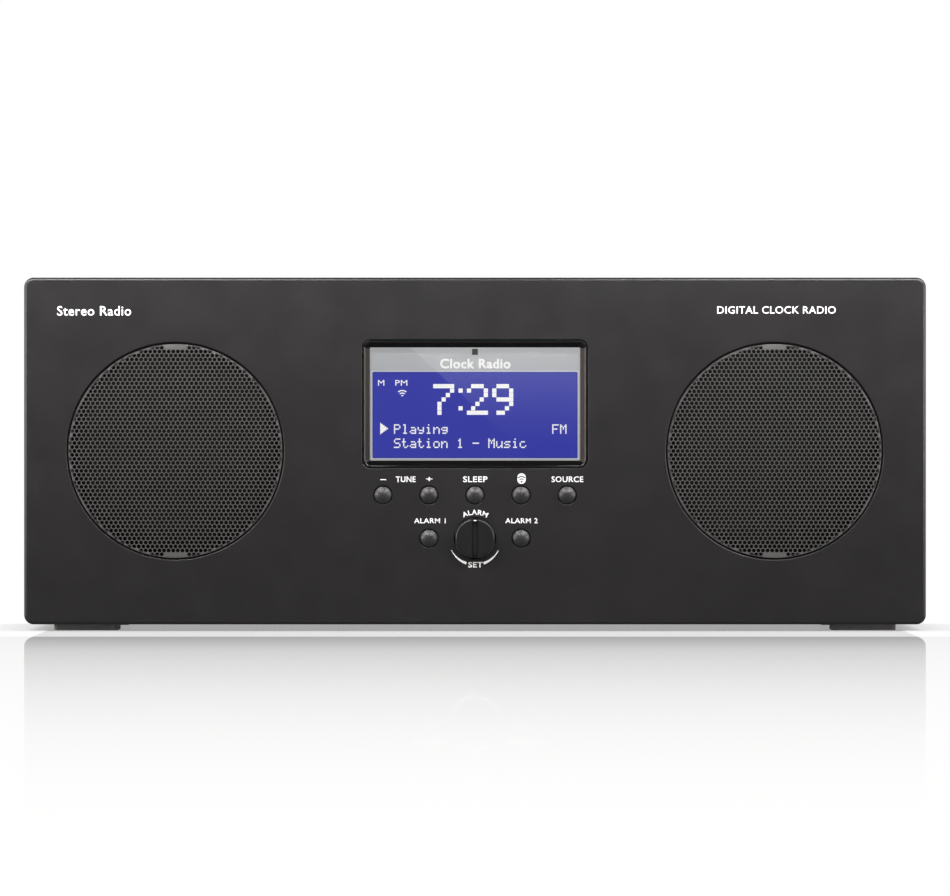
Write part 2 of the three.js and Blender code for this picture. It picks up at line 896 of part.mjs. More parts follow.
function rearPanel() {
  const blank = slab(
    roundedRectangle(innerWidth - 2 * seam, innerHeight - 2 * seam, innerCorner),
    -rearThickness,
    0,
  );
  const railZ = mainBoardRise - seam - railHeight / 2;
  const rails = [-1, 1].map((s) =>
    box(
      railWall,
      mainBoardDepth + mainBoardFromPanel,
      railHeight,
      s * (mainBoardWidth / 2 - railWall),
      weld - rearThickness - (mainBoardDepth + mainBoardFromPanel) / 2,
      railZ,
    ),
  );
  const saddleTop = antennaRise - whipRadius - seam;
  const saddleOut = antennaAxisOut + whipRadius;
  const saddle = box(
    saddleWidth,
    saddleOut + weld,
    saddleHeight,
    saddleX,
    (saddleOut - weld) / 2,
    saddleTop - saddleHeight / 2,
  );
  const through = [-rearThickness - beyond, beyond];
  const holes = [
    slab(
      roundedRectangle(doorWidth + 2 * running, doorHeight + 2 * running, running, 0, doorMiddle),
      ...through,
      2,
    ),
    ...[-1, 1].map((s) => hingePinHole(s)),
    cylinder(portRadius + portWall + seam, ...through, -speakerOffset, 0),
    cylinder(antennaStem + running, ...through, antennaX, antennaRise),
    ...screwPlaces.map(({ x, z }) => cylinder(screwRadius + seam, ...through, x, z, ROUND.small)),
    ...sockets.map(({ x, z, nose }) => cylinder(nose + seam, ...through, x, z)),
    box(
      usb.size[0] + 2 * seam,
      rearThickness + 2 * beyond,
      usb.size[2] + 2 * seam,
      usb.x,
      -rearThickness / 2,
      usb.z,
    ),
  ];
  return cut(join(blank, ...rails, saddle), ...holes);
}

// A bearing hole for one of the door's pins, beside the door's opening.
function hingePinHole(side) {
  const length = hingePinLength + seam + weld;
  const middle = doorWidth / 2 + hingePinLength + seam - length / 2;
  return cylinder(hingePin + hingePinGap, -length / 2, length / 2, 0, 0, ROUND.small)
    .rotateZ(Math.PI / 2)
    .translate(side * middle, -rearThickness / 2, hingeZ);
}

// A flush door that turns on two pins along its lower edge, with a finger notch at its top.
function batteryDoor() {
  const middleY = -rearThickness / 2;
  const leaf = box(
    doorWidth,
    rearThickness,
    doorHeight - hingeRadius,
    0,
    middleY,
    doorMiddle + hingeRadius / 2,
  );
  const knuckle = cylinder(hingeRadius, -doorWidth / 2, doorWidth / 2)
    .rotateZ(Math.PI / 2)
    .translate(0, middleY, hingeZ);
  const reach = doorWidth / 2 + hingePinLength;
  const pins = cylinder(hingePin, -reach, reach, 0, 0, ROUND.small)
    .rotateZ(Math.PI / 2)
    .translate(0, middleY, hingeZ);
  const notch = box(
    notchWidth,
    2 * (rearThickness - notchFloor),
    2 * notchDepth,
    0,
    0,
    doorMiddle + doorHeight / 2,
  );
  return cut(join(leaf, knuckle, pins), notch);
}

function batteryTray() {
  const trayWidth = doorWidth + 2 * trayLap;
  const trayHeight = doorHeight + 2 * trayLap;
  const middleY = rearPanelFront - trayDepth / 2;
  const hollowWidth = trayWidth - 2 * trayWall;
  const hollowHeight = trayHeight - 2 * trayWall;
  return cut(
    box(trayWidth, trayDepth, trayHeight, 0, middleY, doorMiddle),
    box(hollowWidth, trayDepth, hollowHeight, 0, middleY + trayWall, doorMiddle),
  );
}

// Two round cells side by side in one shrink wrap.
function batteryPack() {
  const outline = new THREE.Shape();
  outline.absarc(0, cellPitch / 2, cellRadius, 0, Math.PI);
  outline.absarc(0, -cellPitch / 2, cellRadius, Math.PI, 2 * Math.PI);
  outline.closePath();
  const back = rearPanelFront - trayDepth + trayWall + seam;
  return new THREE.ExtrudeGeometry(outline, { depth: packLength, bevelEnabled: false, curveSegments: 8 })
    .rotateX(Math.PI / 2)
    .rotateZ(Math.PI / 2)
    .translate(-packLength / 2, back + cellRadius, doorMiddle);
}

function bassPort() {
  const outer = portRadius + portWall;
  const face = seam + portFlangeThickness;
  const flare = portFlange - 1;
  return turned([
    [outer, -portLength],
    [outer, seam],
    [outer + portFlange, seam],
    [outer + portFlange, face],
    ...arc(portRadius + flare, face - flare, flare, Math.PI / 2, Math.PI, 5),
    [portRadius, -portLength],
  ]);
}

// A domed screw that holds the rear panel to a corner block.
function rearScrew() {
  return turned(
    [
      [0, seam + screwHeadHeight],
      [screwHead / 2, seam + screwHeadHeight],
      [screwHead, seam + screwHeadHeight / 3],
      [screwHead, seam],
      [screwRadius, seam],
      [screwRadius, rearPanelFront - screwLength + screwPoint],
      [0, rearPanelFront - screwLength],
    ],
    ROUND.small,
  );
}

// ---------------------------------------------------------------- main board and sockets

function mainBoard() {
  const sheet = box(
    mainBoardWidth,
    mainBoardDepth,
    boardThickness,
    0,
    boardY - mainBoardDepth / 2,
    mainBoardRise + boardThickness / 2,
  );
  const cans = capacitors.map(({ radius, tall, x, y }) =>
    new THREE.CylinderGeometry(radius, radius, tall + weld, ROUND.small)
      .rotateX(Math.PI / 2)
      .translate(x, boardY + y, mainBoardTop + (tall - weld) / 2),
  );
  return join(sheet, ...cans, ...heatSinkParts());
}

// A row of upright fins on a back plate.
function heatSinkParts() {
  const { x, y, width: sinkWidth, depth, height: tall, base, fins, fin } = heatSink;
  const z = mainBoardTop + (tall - weld) / 2;
  const pitch = (sinkWidth - fin) / (fins - 1);
  const plateY = boardY + y - (depth - base) / 2;
  const back = box(sinkWidth, base, tall + weld, x, plateY, z);
  const blades = Array.from({ length: fins }, (_, i) =>
    box(fin, depth, tall + weld, x - (sinkWidth - fin) / 2 + i * pitch, boardY + y, z),
  );
  return [back, ...blades];
}

// A pressed metal can over the tuner, open underneath.
function tunerShield() {
  const { x, y, width: canWidth, depth, height: tall, sheet } = tunerCan;
  const z = mainBoardTop + seam + tall / 2;
  return cut(
    box(canWidth, depth, tall, x, boardY + y, z),
    box(canWidth - 2 * sheet, depth - 2 * sheet, tall, x, boardY + y, z - sheet),
  );
}

// A socket on the main board whose round nose looks out through the rear panel.
function roundSocket({ size: [sizeX, sizeY, sizeZ], bore, nose }) {
  const body = box(sizeX, sizeY, sizeZ, 0, rearPanelFront - sizeY / 2, 0);
  const collar = cylinder(nose, rearPanelFront - weld, -socketFlush);
  const hollow = cylinder(bore, rearPanelFront - sizeY + socketFloor, beyond, 0, 0, ROUND.small);
  return cut(join(body, collar), hollow);
}

// The power inlet has a centre pin in its bore.
function powerInlet(socket) {
  const root = rearPanelFront - socket.size[1] + socketFloor - weld;
  return join(roundSocket(socket), cylinder(inletPin, root, -inletPinSunk, 0, 0, ROUND.small));
}

function usbPort() {
  const [sizeX, sizeY, sizeZ] = usb.size;
  const back = rearPanelFront - sizeY;
  const depth = -socketFlush - back;
  const hollowY = back + usbShell + depth / 2;
  const shell = box(sizeX, depth, sizeZ, 0, back + depth / 2, 0);
  const hollow = box(sizeX - 2 * usbShell, depth, sizeZ - 2 * usbShell, 0, hollowY, 0);
  const tongueDepth = depth - 2 * usbShell;
  const tongueWidth = sizeX - 2 * usbShell - 2 * usbTongueGap;
  const tongueY = back + tongueDepth / 2 + usbShell / 2;
  const tongue = box(tongueWidth, tongueDepth, usbTongue, 0, tongueY, usbTongueRise);
  return join(cut(shell, hollow), tongue);
}

// Flat cable from the switch board down to the main board, drawn from its side.
function displayRibbon() {
  const startY = frontY + boardFace + boardThickness + seam;
  const endY = rearY + boardY - mainBoardDepth + 4;
  const low = mainBoardTop + seam;
  const centreY = startY + ribbonBend;
  const top = Math.max(boardBottom, low + ribbonBend) + ribbonLap;
  const outline = new THREE.Shape();
  outline.moveTo(startY, top);
  outline.lineTo(startY, low + ribbonBend);
  outline.absarc(centreY, low + ribbonBend, ribbonBend, Math.PI, 1.5 * Math.PI);
  outline.lineTo(endY, low);
  outline.lineTo(endY, low + ribbonThickness);
  outline.absarc(centreY, low + ribbonBend, ribbonBend - ribbonThickness, 1.5 * Math.PI, Math.PI, true);
  outline.lineTo(startY + ribbonThickness, top);
  outline.closePath();
  return new THREE.ExtrudeGeometry(outline, { depth: ribbonWidth, bevelEnabled: false, curveSegments: 6 })
    .rotateX(Math.PI / 2)
    .rotateZ(Math.PI / 2)
    .translate(ribbonX - ribbonWidth / 2, 0, middleZ);
}

// ---------------------------------------------------------------- whip antenna

// A swivel with two ears and a rivet, which turns in the rear panel. Its own origin is the pivot.
function antennaBase() {
  const flangeOut = seam - antennaAxisOut;
  const earGap = eyeThickness / 2 + seam;
  const stem = turned(
    [
      [0, rearPanelFront - antennaAxisOut - 2],
      [antennaStem, rearPanelFront - antennaAxisOut - 2],
      [antennaStem, flangeOut],
      [antennaFlange, flangeOut],
      [antennaFlange, flangeOut + antennaFlangeThickness],
      [0, flangeOut + antennaFlangeThickness],
    ],
    ROUND.medium,
  );
  const earRoot = flangeOut + antennaFlangeThickness - 0.4;
  const ears = [-1, 1].flatMap((s) => {
    const z = s * (earGap + earThickness / 2);
    const round = new THREE.CylinderGeometry(earRadius, earRadius, earThickness, ROUND.medium)
      .rotateX(Math.PI / 2)
      .translate(0, 0, z);
    return [round, box(2 * earRadius, -earRoot, earThickness, 0, earRoot / 2, z)];
  });
  const rivet = new THREE.CylinderGeometry(
    pivotRadius,
    pivotRadius,
    2 * (earGap + earThickness) - 0.4,
    ROUND.small,
  ).rotateX(Math.PI / 2);
  return join(stem, ...ears, rivet);
}

// A thin tube that lies along -X from one distance to another.
function tubeAlong(outer, from, to) {
  return turned(
    [
      [outer, from],
      [outer, to],
      [outer - tubeWall, to],
      [outer - tubeWall, from],
    ],
    ROUND.small,
  ).rotateZ(Math.PI / 2);
}

function rodAlong(radius, from, to) {
  return cylinder(radius, from, to, 0, 0, ROUND.small).rotateZ(Math.PI / 2);
}

// The outer tube, closed at the pivot end by a flat eye around the rivet.
function antennaOuterTube() {
  const eye = new THREE.CylinderGeometry(whipRadius, whipRadius, eyeThickness, ROUND.medium)
    .rotateX(Math.PI / 2);
  const neck = box(whipStart + 1, eyeThickness, eyeThickness, -(whipStart + 1) / 2, 0, 0);
  const plug = rodAlong(whipRadius, whipStart, whipStart + 2);
  const hole = new THREE.CylinderGeometry(
    pivotRadius + seam,
    pivotRadius + seam,
    2 * eyeThickness,
    ROUND.small,
  ).rotateX(Math.PI / 2);
  const tube = tubeAlong(whipRadius, whipStart + 1, whipLength);
  return join(cut(join(eye, neck, plug), hole), tube);
}

function sectionRadius(index) {
  return whipRadius - index * (tubeWall + tubeGap);
}

function antennaInnerTube(index) {
  return tubeAlong(sectionRadius(index), whipStart + 3 + index, whipLength + index * whipStep);
}

function antennaTip() {
  const last = 3;
  const end = whipLength + last * whipStep;
  return join(
    rodAlong(sectionRadius(last), whipStart + 3 + last, end + 0.5),
    rodAlong(whipRadius, end, end + tipLength),
  );
}

// ---------------------------------------------------------------- assembly

const cabinetGroup = new THREE.Group();
cabinetGroup.position.set(0, frontY, middleZ);
cabinetGroup.add(
  piece("cabinet_sleeve", cabinetSleeve(), finishes.wood),
  piece("front_panel", frontPanel(), finishes.panel),
  piece("display_bezel", displayBezel(), finishes.gloss),
  piece("display_lens", displayLens(), finishes.lens),
  piece("display_mask", displayMask(), finishes.mask),
  piece("lcd_glass", litPlate(lcdFace, lcdFace + lcdThickness), finishes.lcd),
  piece(
    "lcd_backlight",
    litPlate(
      lcdFace + lcdThickness + seam,
      lcdFace + lcdThickness + seam + backlightThickness,
    ),
    finishes.light,
  ),
  piece("remote_sensor", remoteSensor(), finishes.gloss),
  piece("key_board", keyBoard(), finishes.board),
);
for (const { name, x, z } of buttons) {
  cabinetGroup.add(piece(name, button(), finishes.panel, x, 0, z));
}
for (const { side, x } of speakers) {
  cabinetGroup.add(
    piece(side + "_grille", grille(), finishes.grille, x),
    piece(side + "_speaker_basket", speakerBasket(), finishes.steel, x),
    piece(side + "_speaker_cone", speakerCone(), finishes.cone, x),
    piece(side + "_speaker_surround", speakerSurround(), finishes.rubber, x),
    piece(side + "_speaker_magnet", speakerMagnet(), finishes.steel, x),
  );
}

const knobGroup = new THREE.Group();
knobGroup.position.set(0, frontY, middleZ + lowerRow);
knobGroup.add(
  piece("alarm_knob", alarmKnob(), finishes.panel),
  piece(
    "encoder_shaft",
    flattedRod(shaftRadius, shaftFlat, shaftFromFace, shaftEnd),
    finishes.steel,
  ),
  piece(
    "encoder_plunger",
    cylinder(plungerRadius, shaftEnd + seam, shaftEnd + seam + plungerThickness),
    finishes.rubber,
  ),
  piece("encoder_body", encoderBody(), finishes.steel),
);

const topGroup = new THREE.Group();
topGroup.position.set(0, frontY + keySetback, topZ);
topGroup.add(
  piece("top_key_frame", keyFrame(), finishes.gloss),
  piece("top_switch_board", topSwitchBoard(), finishes.board),
);
for (const entry of keys) topGroup.add(piece(entry.name, key(entry), finishes.panel, entry.x));

const rearGroup = new THREE.Group();
rearGroup.position.set(0, rearY, middleZ);
rearGroup.add(
  piece("rear_panel", rearPanel(), finishes.panel),
  piece("battery_door", batteryDoor(), finishes.panel),
  piece("battery_tray", batteryTray(), finishes.panel),
  piece("battery_pack", batteryPack(), finishes.wrap),
  piece("bass_port", bassPort(), finishes.panel, -speakerOffset),
  piece("main_board", mainBoard(), finishes.board),
  piece("tuner_shield", tunerShield(), finishes.steel),
  piece(usb.name, usbPort(), finishes.chrome, usb.x, 0, usb.z),
);
for (const socket of sockets) {
  const shape = socket.name === "dc_jack" ? powerInlet(socket) : roundSocket(socket);
  rearGroup.add(piece(socket.name, shape, finishes.rubber, socket.x, 0, socket.z));
}
screwPlaces.forEach(({ x, z }, i) => {
  rearGroup.add(piece("rear_screw_" + (i + 1), rearScrew(), finishes.steel, x, 0, z));
});

const antennaGroup = new THREE.Group();
antennaGroup.position.set(antennaX, rearY + antennaAxisOut, middleZ + antennaRise);
antennaGroup.add(
  piece("antenna_base", antennaBase(), finishes.gloss),
  piece("antenna_outer_tube", antennaOuterTube(), finishes.chrome),
  piece("antenna_middle_tube", antennaInnerTube(1), finishes.chrome),
  piece("antenna_inner_tube", antennaInnerTube(2), finishes.chrome),
  piece("antenna_tip", antennaTip(), finishes.chrome),
);

const radio = new THREE.Group();
radio.add(cabinetGroup, knobGroup, topGroup, rearGroup, antennaGroup);
radio.add(piece("display_ribbon", displayRibbon(), finishes.mask));

const footX = width / 2 - footFromSide - footWidth / 2;
const footY = [
  ["front", frontY + footFromEdge + footDepth / 2],
  ["rear", frontY + cabinetDepth - footFromEdge - footDepth / 2],
];
for (const [end, y] of footY) {
  for (const [side, x] of [["left", -footX], ["right", footX]]) {
    radio.add(piece(end + "_" + side + "_foot", foot(), finishes.rubber, x, y));
  }
}

export default radio;
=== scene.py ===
"""The looks of a tabletop radio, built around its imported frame.

Every size is in millimetres, in the frame's own axes, until a surface becomes a mesh. A place that the frame
already holds is read from its pieces' boxes.
"""

import sys
import logging
import math
from collections.abc import Callable, Sequence
from dataclasses import dataclass, field
from enum import Enum
from functools import cache
from typing import Any

import bmesh
import bpy
import numpy as np
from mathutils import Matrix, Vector
from mathutils.geometry import delaunay_2d_cdt


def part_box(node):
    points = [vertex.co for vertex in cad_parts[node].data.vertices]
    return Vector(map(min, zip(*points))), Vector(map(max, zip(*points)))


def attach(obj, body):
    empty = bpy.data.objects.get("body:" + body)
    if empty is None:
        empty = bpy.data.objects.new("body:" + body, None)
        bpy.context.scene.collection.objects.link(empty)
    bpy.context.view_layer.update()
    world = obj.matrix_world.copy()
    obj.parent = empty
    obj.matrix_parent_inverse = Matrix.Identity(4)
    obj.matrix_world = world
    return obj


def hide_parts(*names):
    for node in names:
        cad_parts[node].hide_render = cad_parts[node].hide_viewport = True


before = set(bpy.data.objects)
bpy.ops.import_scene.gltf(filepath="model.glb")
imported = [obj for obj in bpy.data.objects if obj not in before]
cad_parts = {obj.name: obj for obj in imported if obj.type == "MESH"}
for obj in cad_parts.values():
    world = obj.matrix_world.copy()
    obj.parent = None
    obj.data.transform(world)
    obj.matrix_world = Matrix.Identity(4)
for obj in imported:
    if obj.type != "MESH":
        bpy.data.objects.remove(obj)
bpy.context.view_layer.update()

MM = 0.001
WELD = 2e-6

Colour = tuple[float, float, float]
Outline = Callable[[float], np.ndarray]
Stations = Sequence[tuple[float, float]]

log = logging.getLogger("radio")


# ---------------------------------------------------------------- shapes


def extent(node: str) -> tuple[np.ndarray, np.ndarray]:
    """The lowest and highest corner of a piece of the frame.

    Args:
        node: The name of the frame's piece.

    Returns:
        Both corners, in millimetres.
    """
    low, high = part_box(node)
    return np.array(low) / MM, np.array(high) / MM


def middle_of(node: str) -> np.ndarray:
    """The middle of a frame piece's box, in millimetres."""
    low, high = extent(node)
    return (low + high) / 2


def circle(radius: float, count: int = 96) -> Outline:
    """A round outline: at even angles t, (radius + grow) times (cos t, sin t).

    Args:
        radius: The circle's radius.
        count: How many points it has.

    Returns:
        The outline, as a function of how far it grows.
    """
    angle = np.linspace(0, 2 * np.pi, count, endpoint=False)
    way = np.stack([np.cos(angle), np.sin(angle)], -1)
    return lambda grow=0.0: (radius + grow) * way


def rounded(width: float, height: float, corner: float, steps: int = 8) -> Outline:
    """A rectangle with round corners: each corner is a quarter circle about a centre set in by its radius.

    Args:
        width: The size across.
        height: The size up.
        corner: The corners' radius.
        steps: How many points each corner has.

    Returns:
        The outline, as a function of how far it grows.
    """
    quarter = np.arange(4)[:, None] * np.pi / 2 + np.linspace(0, np.pi / 2, steps)
    arcs = np.stack([np.cos(quarter), np.sin(quarter)], -1)
    signs = np.array([(1, 1), (-1, 1), (-1, -1), (1, -1)])[:, None, :]

    def grown(grow: float = 0.0) -> np.ndarray:
        """The outline's points once it has grown."""
        radius = max(corner + grow, 0.01)
        half = np.array([width / 2 + grow - radius, height / 2 + grow - radius])
        return (signs * half + radius * arcs).reshape(-1, 2)

    return grown


def moved(outline: Outline, across: float, up: float) -> Outline:
    """The same outline about another middle."""
    return lambda grow=0.0: outline(grow) + (across, up)


def edge(radius: float, way: int, steps: int = 5) -> list[tuple[float, float]]:
    """A rounded edge, from the face into the depth.

    At angle a from 0 to 90 degrees, the growth is way times radius times (1 - sin a), and the depth is
    radius times (1 - cos a).

    Args:
        radius: The rounding's radius.
        way: 1 for a hole's edge, and -1 for an outer edge.
        steps: How many faces the rounding has.

    Returns:
        Pairs of growth and depth.
    """
    angle = np.linspace(0, np.pi / 2, steps + 1)
    return list(zip(way * radius * (1 - np.sin(angle)), radius * (1 - np.cos(angle))))


def border(outline: np.ndarray) -> np.ndarray:
    """An outline's sides, as pairs of points."""
    return np.stack([outline, np.roll(outline, -1, 0)], 1)


def inside(sides: np.ndarray, points: np.ndarray) -> np.ndarray:
    """Which points lie inside a border: a line to the right from each crosses it an odd number of times.

    Args:
        sides: The border's sides, as pairs of points.
        points: The points to test.

    Returns:
        One truth value for each point.
    """
    start, end = sides[:, 0], sides[:, 1]
    u, v = points[:, None, 0], points[:, None, 1]
    spans = (start[:, 1] > v) != (end[:, 1] > v)
    rise = np.where(end[:, 1] == start[:, 1], 1.0, end[:, 1] - start[:, 1])
    crossing = start[:, 0] + (v - start[:, 1]) * (end[:, 0] - start[:, 0]) / rise
    return (spans & (u < crossing)).sum(1) % 2 == 1


@dataclass(frozen=True)
class Seat:
    """A flat place on the radio: its middle, the directions across and up it, and the way into it."""

    middle: tuple[float, float, float]
    across: tuple[float, float, float] = (1, 0, 0)
    up: tuple[float, float, float] = (0, 0, 1)
    inward: tuple[float, float, float] = (0, 1, 0)

    def points(self, flat: np.ndarray, depth: float | np.ndarray = 0.0) -> np.ndarray:
        """Middle plus u times across plus v times up plus depth times inward.

        Args:
            flat: Points u, v on the place.
            depth: How deep they lie.

        Returns:
            The points in space.
        """
        flat = np.asarray(flat, float)
        deep = np.broadcast_to(depth, flat.shape[:-1])[..., None]
        axes = [np.array(axis, float) for axis in (self.across, self.up, self.inward)]
        return np.array(self.middle) + flat[..., :1] * axes[0] + flat[..., 1:2] * axes[1] + deep * axes[2]


def front_seat(x: float, y: float, z: float) -> Seat:
    """A place that faces forward."""
    return Seat((x, y, z))


def rear_seat(x: float, y: float, z: float) -> Seat:
    """A place that faces backward, with across to the right for someone behind the radio."""
    return Seat((x, y, z), (-1, 0, 0), (0, 0, 1), (0, -1, 0))


def top_seat(x: float, y: float, z: float) -> Seat:
    """A place that faces up."""
    return Seat((x, y, z), (1, 0, 0), (0, 1, 0), (0, 0, -1))


def side_seat(x: float, y: float, z: float) -> Seat:
    """A place that faces left, for pieces that lie along the whip."""
    return Seat((x, y, z), (0, 1, 0), (0, 0, 1), (-1, 0, 0))


def moved_seat(seat: Seat, across: float, up: float, proud: float) -> Seat:
    """The same place moved over itself, and raised from it."""
    return Seat(tuple(seat.points(np.array([across, up]), -proud)), seat.across, seat.up, seat.inward)


class Skin:
    """A closed surface in the making: points, faces and the finish that each face takes."""

    def __init__(self) -> None:
        """An empty surface."""
        self._points: list[np.ndarray] = []
        self._faces: list[Sequence[int]] = []
        self._finishes: list[int] = []
        self._count = 0

    def add(self, points: np.ndarray, faces: Any, finish: int = 0) -> None:
        """Adds faces over their own points.

        Args:
            points: The points, in millimetres.
            faces: The faces, as rows of point numbers.
            finish: Which of the piece's finishes they take.
        """
        points = np.asarray(points, float).reshape(-1, 3)
        if isinstance(faces, np.ndarray):
            faces = (faces + self._count).tolist()
        else:
            faces = [[corner + self._count for corner in face] for face in faces]
        self._points.append(points)
        self._faces.extend(faces)
        self._finishes.extend([finish] * len(faces))
        self._count += len(points)

    def sweep(self, loops: np.ndarray, finish: int = 0, closed: bool = False, ring: bool = True) -> None:
        """Quads between each loop and the next.

        Args:
            loops: Stations by points by three.
            finish: The finish of the faces.
            closed: Whether the last loop joins the first.
            ring: Whether each loop joins its own start.
        """
        stations, count = loops.shape[:2]
        index = np.arange(stations * count).reshape(stations, count)
        index = np.vstack([index, index[:1]]) if closed else index
        index = np.hstack([index, index[:, :1]]) if ring else index
        corners = (index[:-1, :-1], index[:-1, 1:], index[1:, 1:], index[1:, :-1])
        self.add(loops, np.stack(corners, -1).reshape(-1, 4), finish)

    def fill(self, seat: Seat, borders: Sequence[np.ndarray], depth: float, finish: int = 0) -> None:
        """Triangles over the flat region inside the first border and outside the others.

        Args:
            seat: The place that the borders are drawn on.
            borders: The sides of the outer border and of the holes.
            depth: How deep the region lies.
            finish: The finish of the faces.
        """
        ends = np.round(np.concatenate(borders).reshape(-1, 2), 5)
        corners, which = np.unique(ends, axis=0, return_inverse=True)
        sides = [(a, b) for a, b in which.reshape(-1, 2).tolist() if a != b]
        found = delaunay_2d_cdt([Vector(corner) for corner in corners], sides, [], 0, 1e-5)
        flat = np.array([tuple(point) for point in found[0]])
        triangles = np.array(found[2])
        middles = flat[triangles].mean(1)
        keep = inside(borders[0], middles)
        for hole in borders[1:]:
            keep &= ~inside(hole, middles)
        self.add(seat.points(flat, depth), triangles[keep], finish)

    def plate(
        self,
        seat: Seat,
        outer: tuple[Outline, Stations],
        holes: Sequence[tuple[Outline, Stations]] = (),
        finish: int = 0,
    ) -> None:
        """A plate with holes: each rim is its outline carried through its stations, and the faces are filled.

        A hole that stops short of the back gets a floor of its own.

        Args:
            seat: The place of the plate's face.
            outer: The outer outline, and its stations from the face to the back.
            holes: The same for each hole.
            finish: The finish of the faces.
        """
        back = outer[1][-1][1]
        for outline, stations in (outer, *holes):
            loops = [seat.points(outline(grow), depth) for grow, depth in stations]
            self.sweep(np.stack(loops), finish)
        faces = [border(outline(stations[0][0])) for outline, stations in (outer, *holes)]
        self.fill(seat, faces, 0.0, finish)
        through = [hole for hole in holes if hole[1][-1][1] >= back]
        self.fill(seat, [border(o(s[-1][0])) for o, s in (outer, *through)], back, finish)
        for outline, stations in holes:
            if stations[-1][1] < back:
                self.fill(seat, [border(outline(stations[-1][0]))], stations[-1][1], finish)

    def turned(self, seat: Seat, profile: Stations, count: int = 64, finish: int = 0) -> None:
        """A turned surface: each profile point (r, d) becomes the circle of radius r at depth d.

        A profile that leaves the axis free is closed on itself, as a ring.

        Args:
            seat: The place of the axis.
            profile: Pairs of radius and depth.
            count: How many points each circle has.
            finish: The finish of the faces.
        """
        loops = np.stack([seat.points(circle(radius, count)(0.0), depth) for radius, depth in profile])
        self.sweep(loops, finish, closed=min(profile[0][0], profile[-1][0]) > 0)

    def boxes(
        self, seat: Seat, middles: np.ndarray, size: tuple[float, float], depths: tuple[float, float]
    ) -> None:
        """Equal flat boxes on a place: eight corners each, at half the size each way from the middle.

        Args:
            seat: The place that they lie on.
            middles: The boxes' middles.
            size: Their size across and up.
            depths: The depths of their front and back.
        """
        signs = np.array([(-1, -1), (1, -1), (1, 1), (-1, 1)])
        square = middles[:, None, :] + signs * np.array(size) / 2
        corners = np.concatenate([seat.points(square, depths[0]), seat.points(square, depths[1])], 1)
        sides = [(k, (k + 1) % 4, (k + 1) % 4 + 4, k + 4) for k in range(4)]
        faces = np.array([(3, 2, 1, 0), (4, 5, 6, 7), *sides])
        self.add(corners, (np.arange(len(middles))[:, None, None] * 8 + faces).reshape(-1, 4))

    def block(self, seat: Seat, outline: Outline, depth: float, rounding: float, foot: float = 0.0) -> None:
        """A solid block whose front edge is rounded, and its back edge too where foot is given."""
        stations = [*edge(rounding, -1), *[(g, depth - d) for g, d in reversed(edge(foot or 0.01, -1, 3))]]
        self.plate(seat, (outline, stations))

    def mesh(self, name: str) -> bpy.types.Object:
        """The surface as a mesh object, its doubles merged and its faces turned outward.

        Args:
            name: The object's name.

        Returns:
            The object, at the origin.
        """
        mesh = bpy.data.meshes.new(name)
        mesh.from_pydata(np.concatenate(self._points) * MM, [], self._faces)
        mesh.polygons.foreach_set("material_index", np.array(self._finishes, np.int32))
        work = bmesh.new()
        work.from_mesh(mesh)
        bmesh.ops.remove_doubles(work, verts=work.verts, dist=WELD)
        bmesh.ops.recalc_face_normals(work, faces=work.faces)
        work.to_mesh(mesh)
        work.free()
        return finished(name, mesh)


def finished(name: str, mesh: bpy.types.Mesh, sharp: float = 34.0) -> bpy.types.Object:
    """An object in the scene for a mesh, smooth except at sharp edges.

    Args:
        name: The object's name.
        mesh: Its mesh.
        sharp: The angle, in degrees, past which an edge is sharp.

    Returns:
        The object.
    """
    mesh.polygons.foreach_set("use_smooth", np.ones(len(mesh.polygons), bool))
    mesh.set_sharp_from_angle(angle=math.radians(sharp))
    made = bpy.data.objects.new(name, mesh)
    bpy.context.scene.collection.objects.link(made)
    return made


def even_shading(piece: bpy.types.Object) -> None:
    """Lets large flat faces keep their own normals next to a rounding."""
    weighted = piece.modifiers.new("even shading", "WEIGHTED_NORMAL")
    weighted.keep_sharp = True


def carved(piece: bpy.types.Object, tool: Skin) -> bpy.types.Object:
    """A piece with another surface cut out of it.

    Args:
        piece: The piece, whose mesh is replaced.
        tool: The surface to cut with.

    Returns:
        The piece.
    """
    cutter = tool.mesh(piece.name + "_tool")
    modifier = piece.modifiers.new("carve", "BOOLEAN")
    modifier.object, modifier.operation, modifier.solver = cutter, "DIFFERENCE", "EXACT"
    bpy.context.view_layer.update()
    shown = piece.evaluated_get(bpy.context.evaluated_depsgraph_get())
    mesh = bpy.data.meshes.new_from_object(shown)
    piece.modifiers.clear()
    piece.data = mesh
    mesh.polygons.foreach_set("use_smooth", np.ones(len(mesh.polygons), bool))
    mesh.set_sharp_from_angle(angle=math.radians(34))
    bpy.data.objects.remove(cutter)
    return piece


class Align(Enum):
    """Where a line of lettering lies about its place."""

    LEFT = 0.0
    CENTRE = 0.5


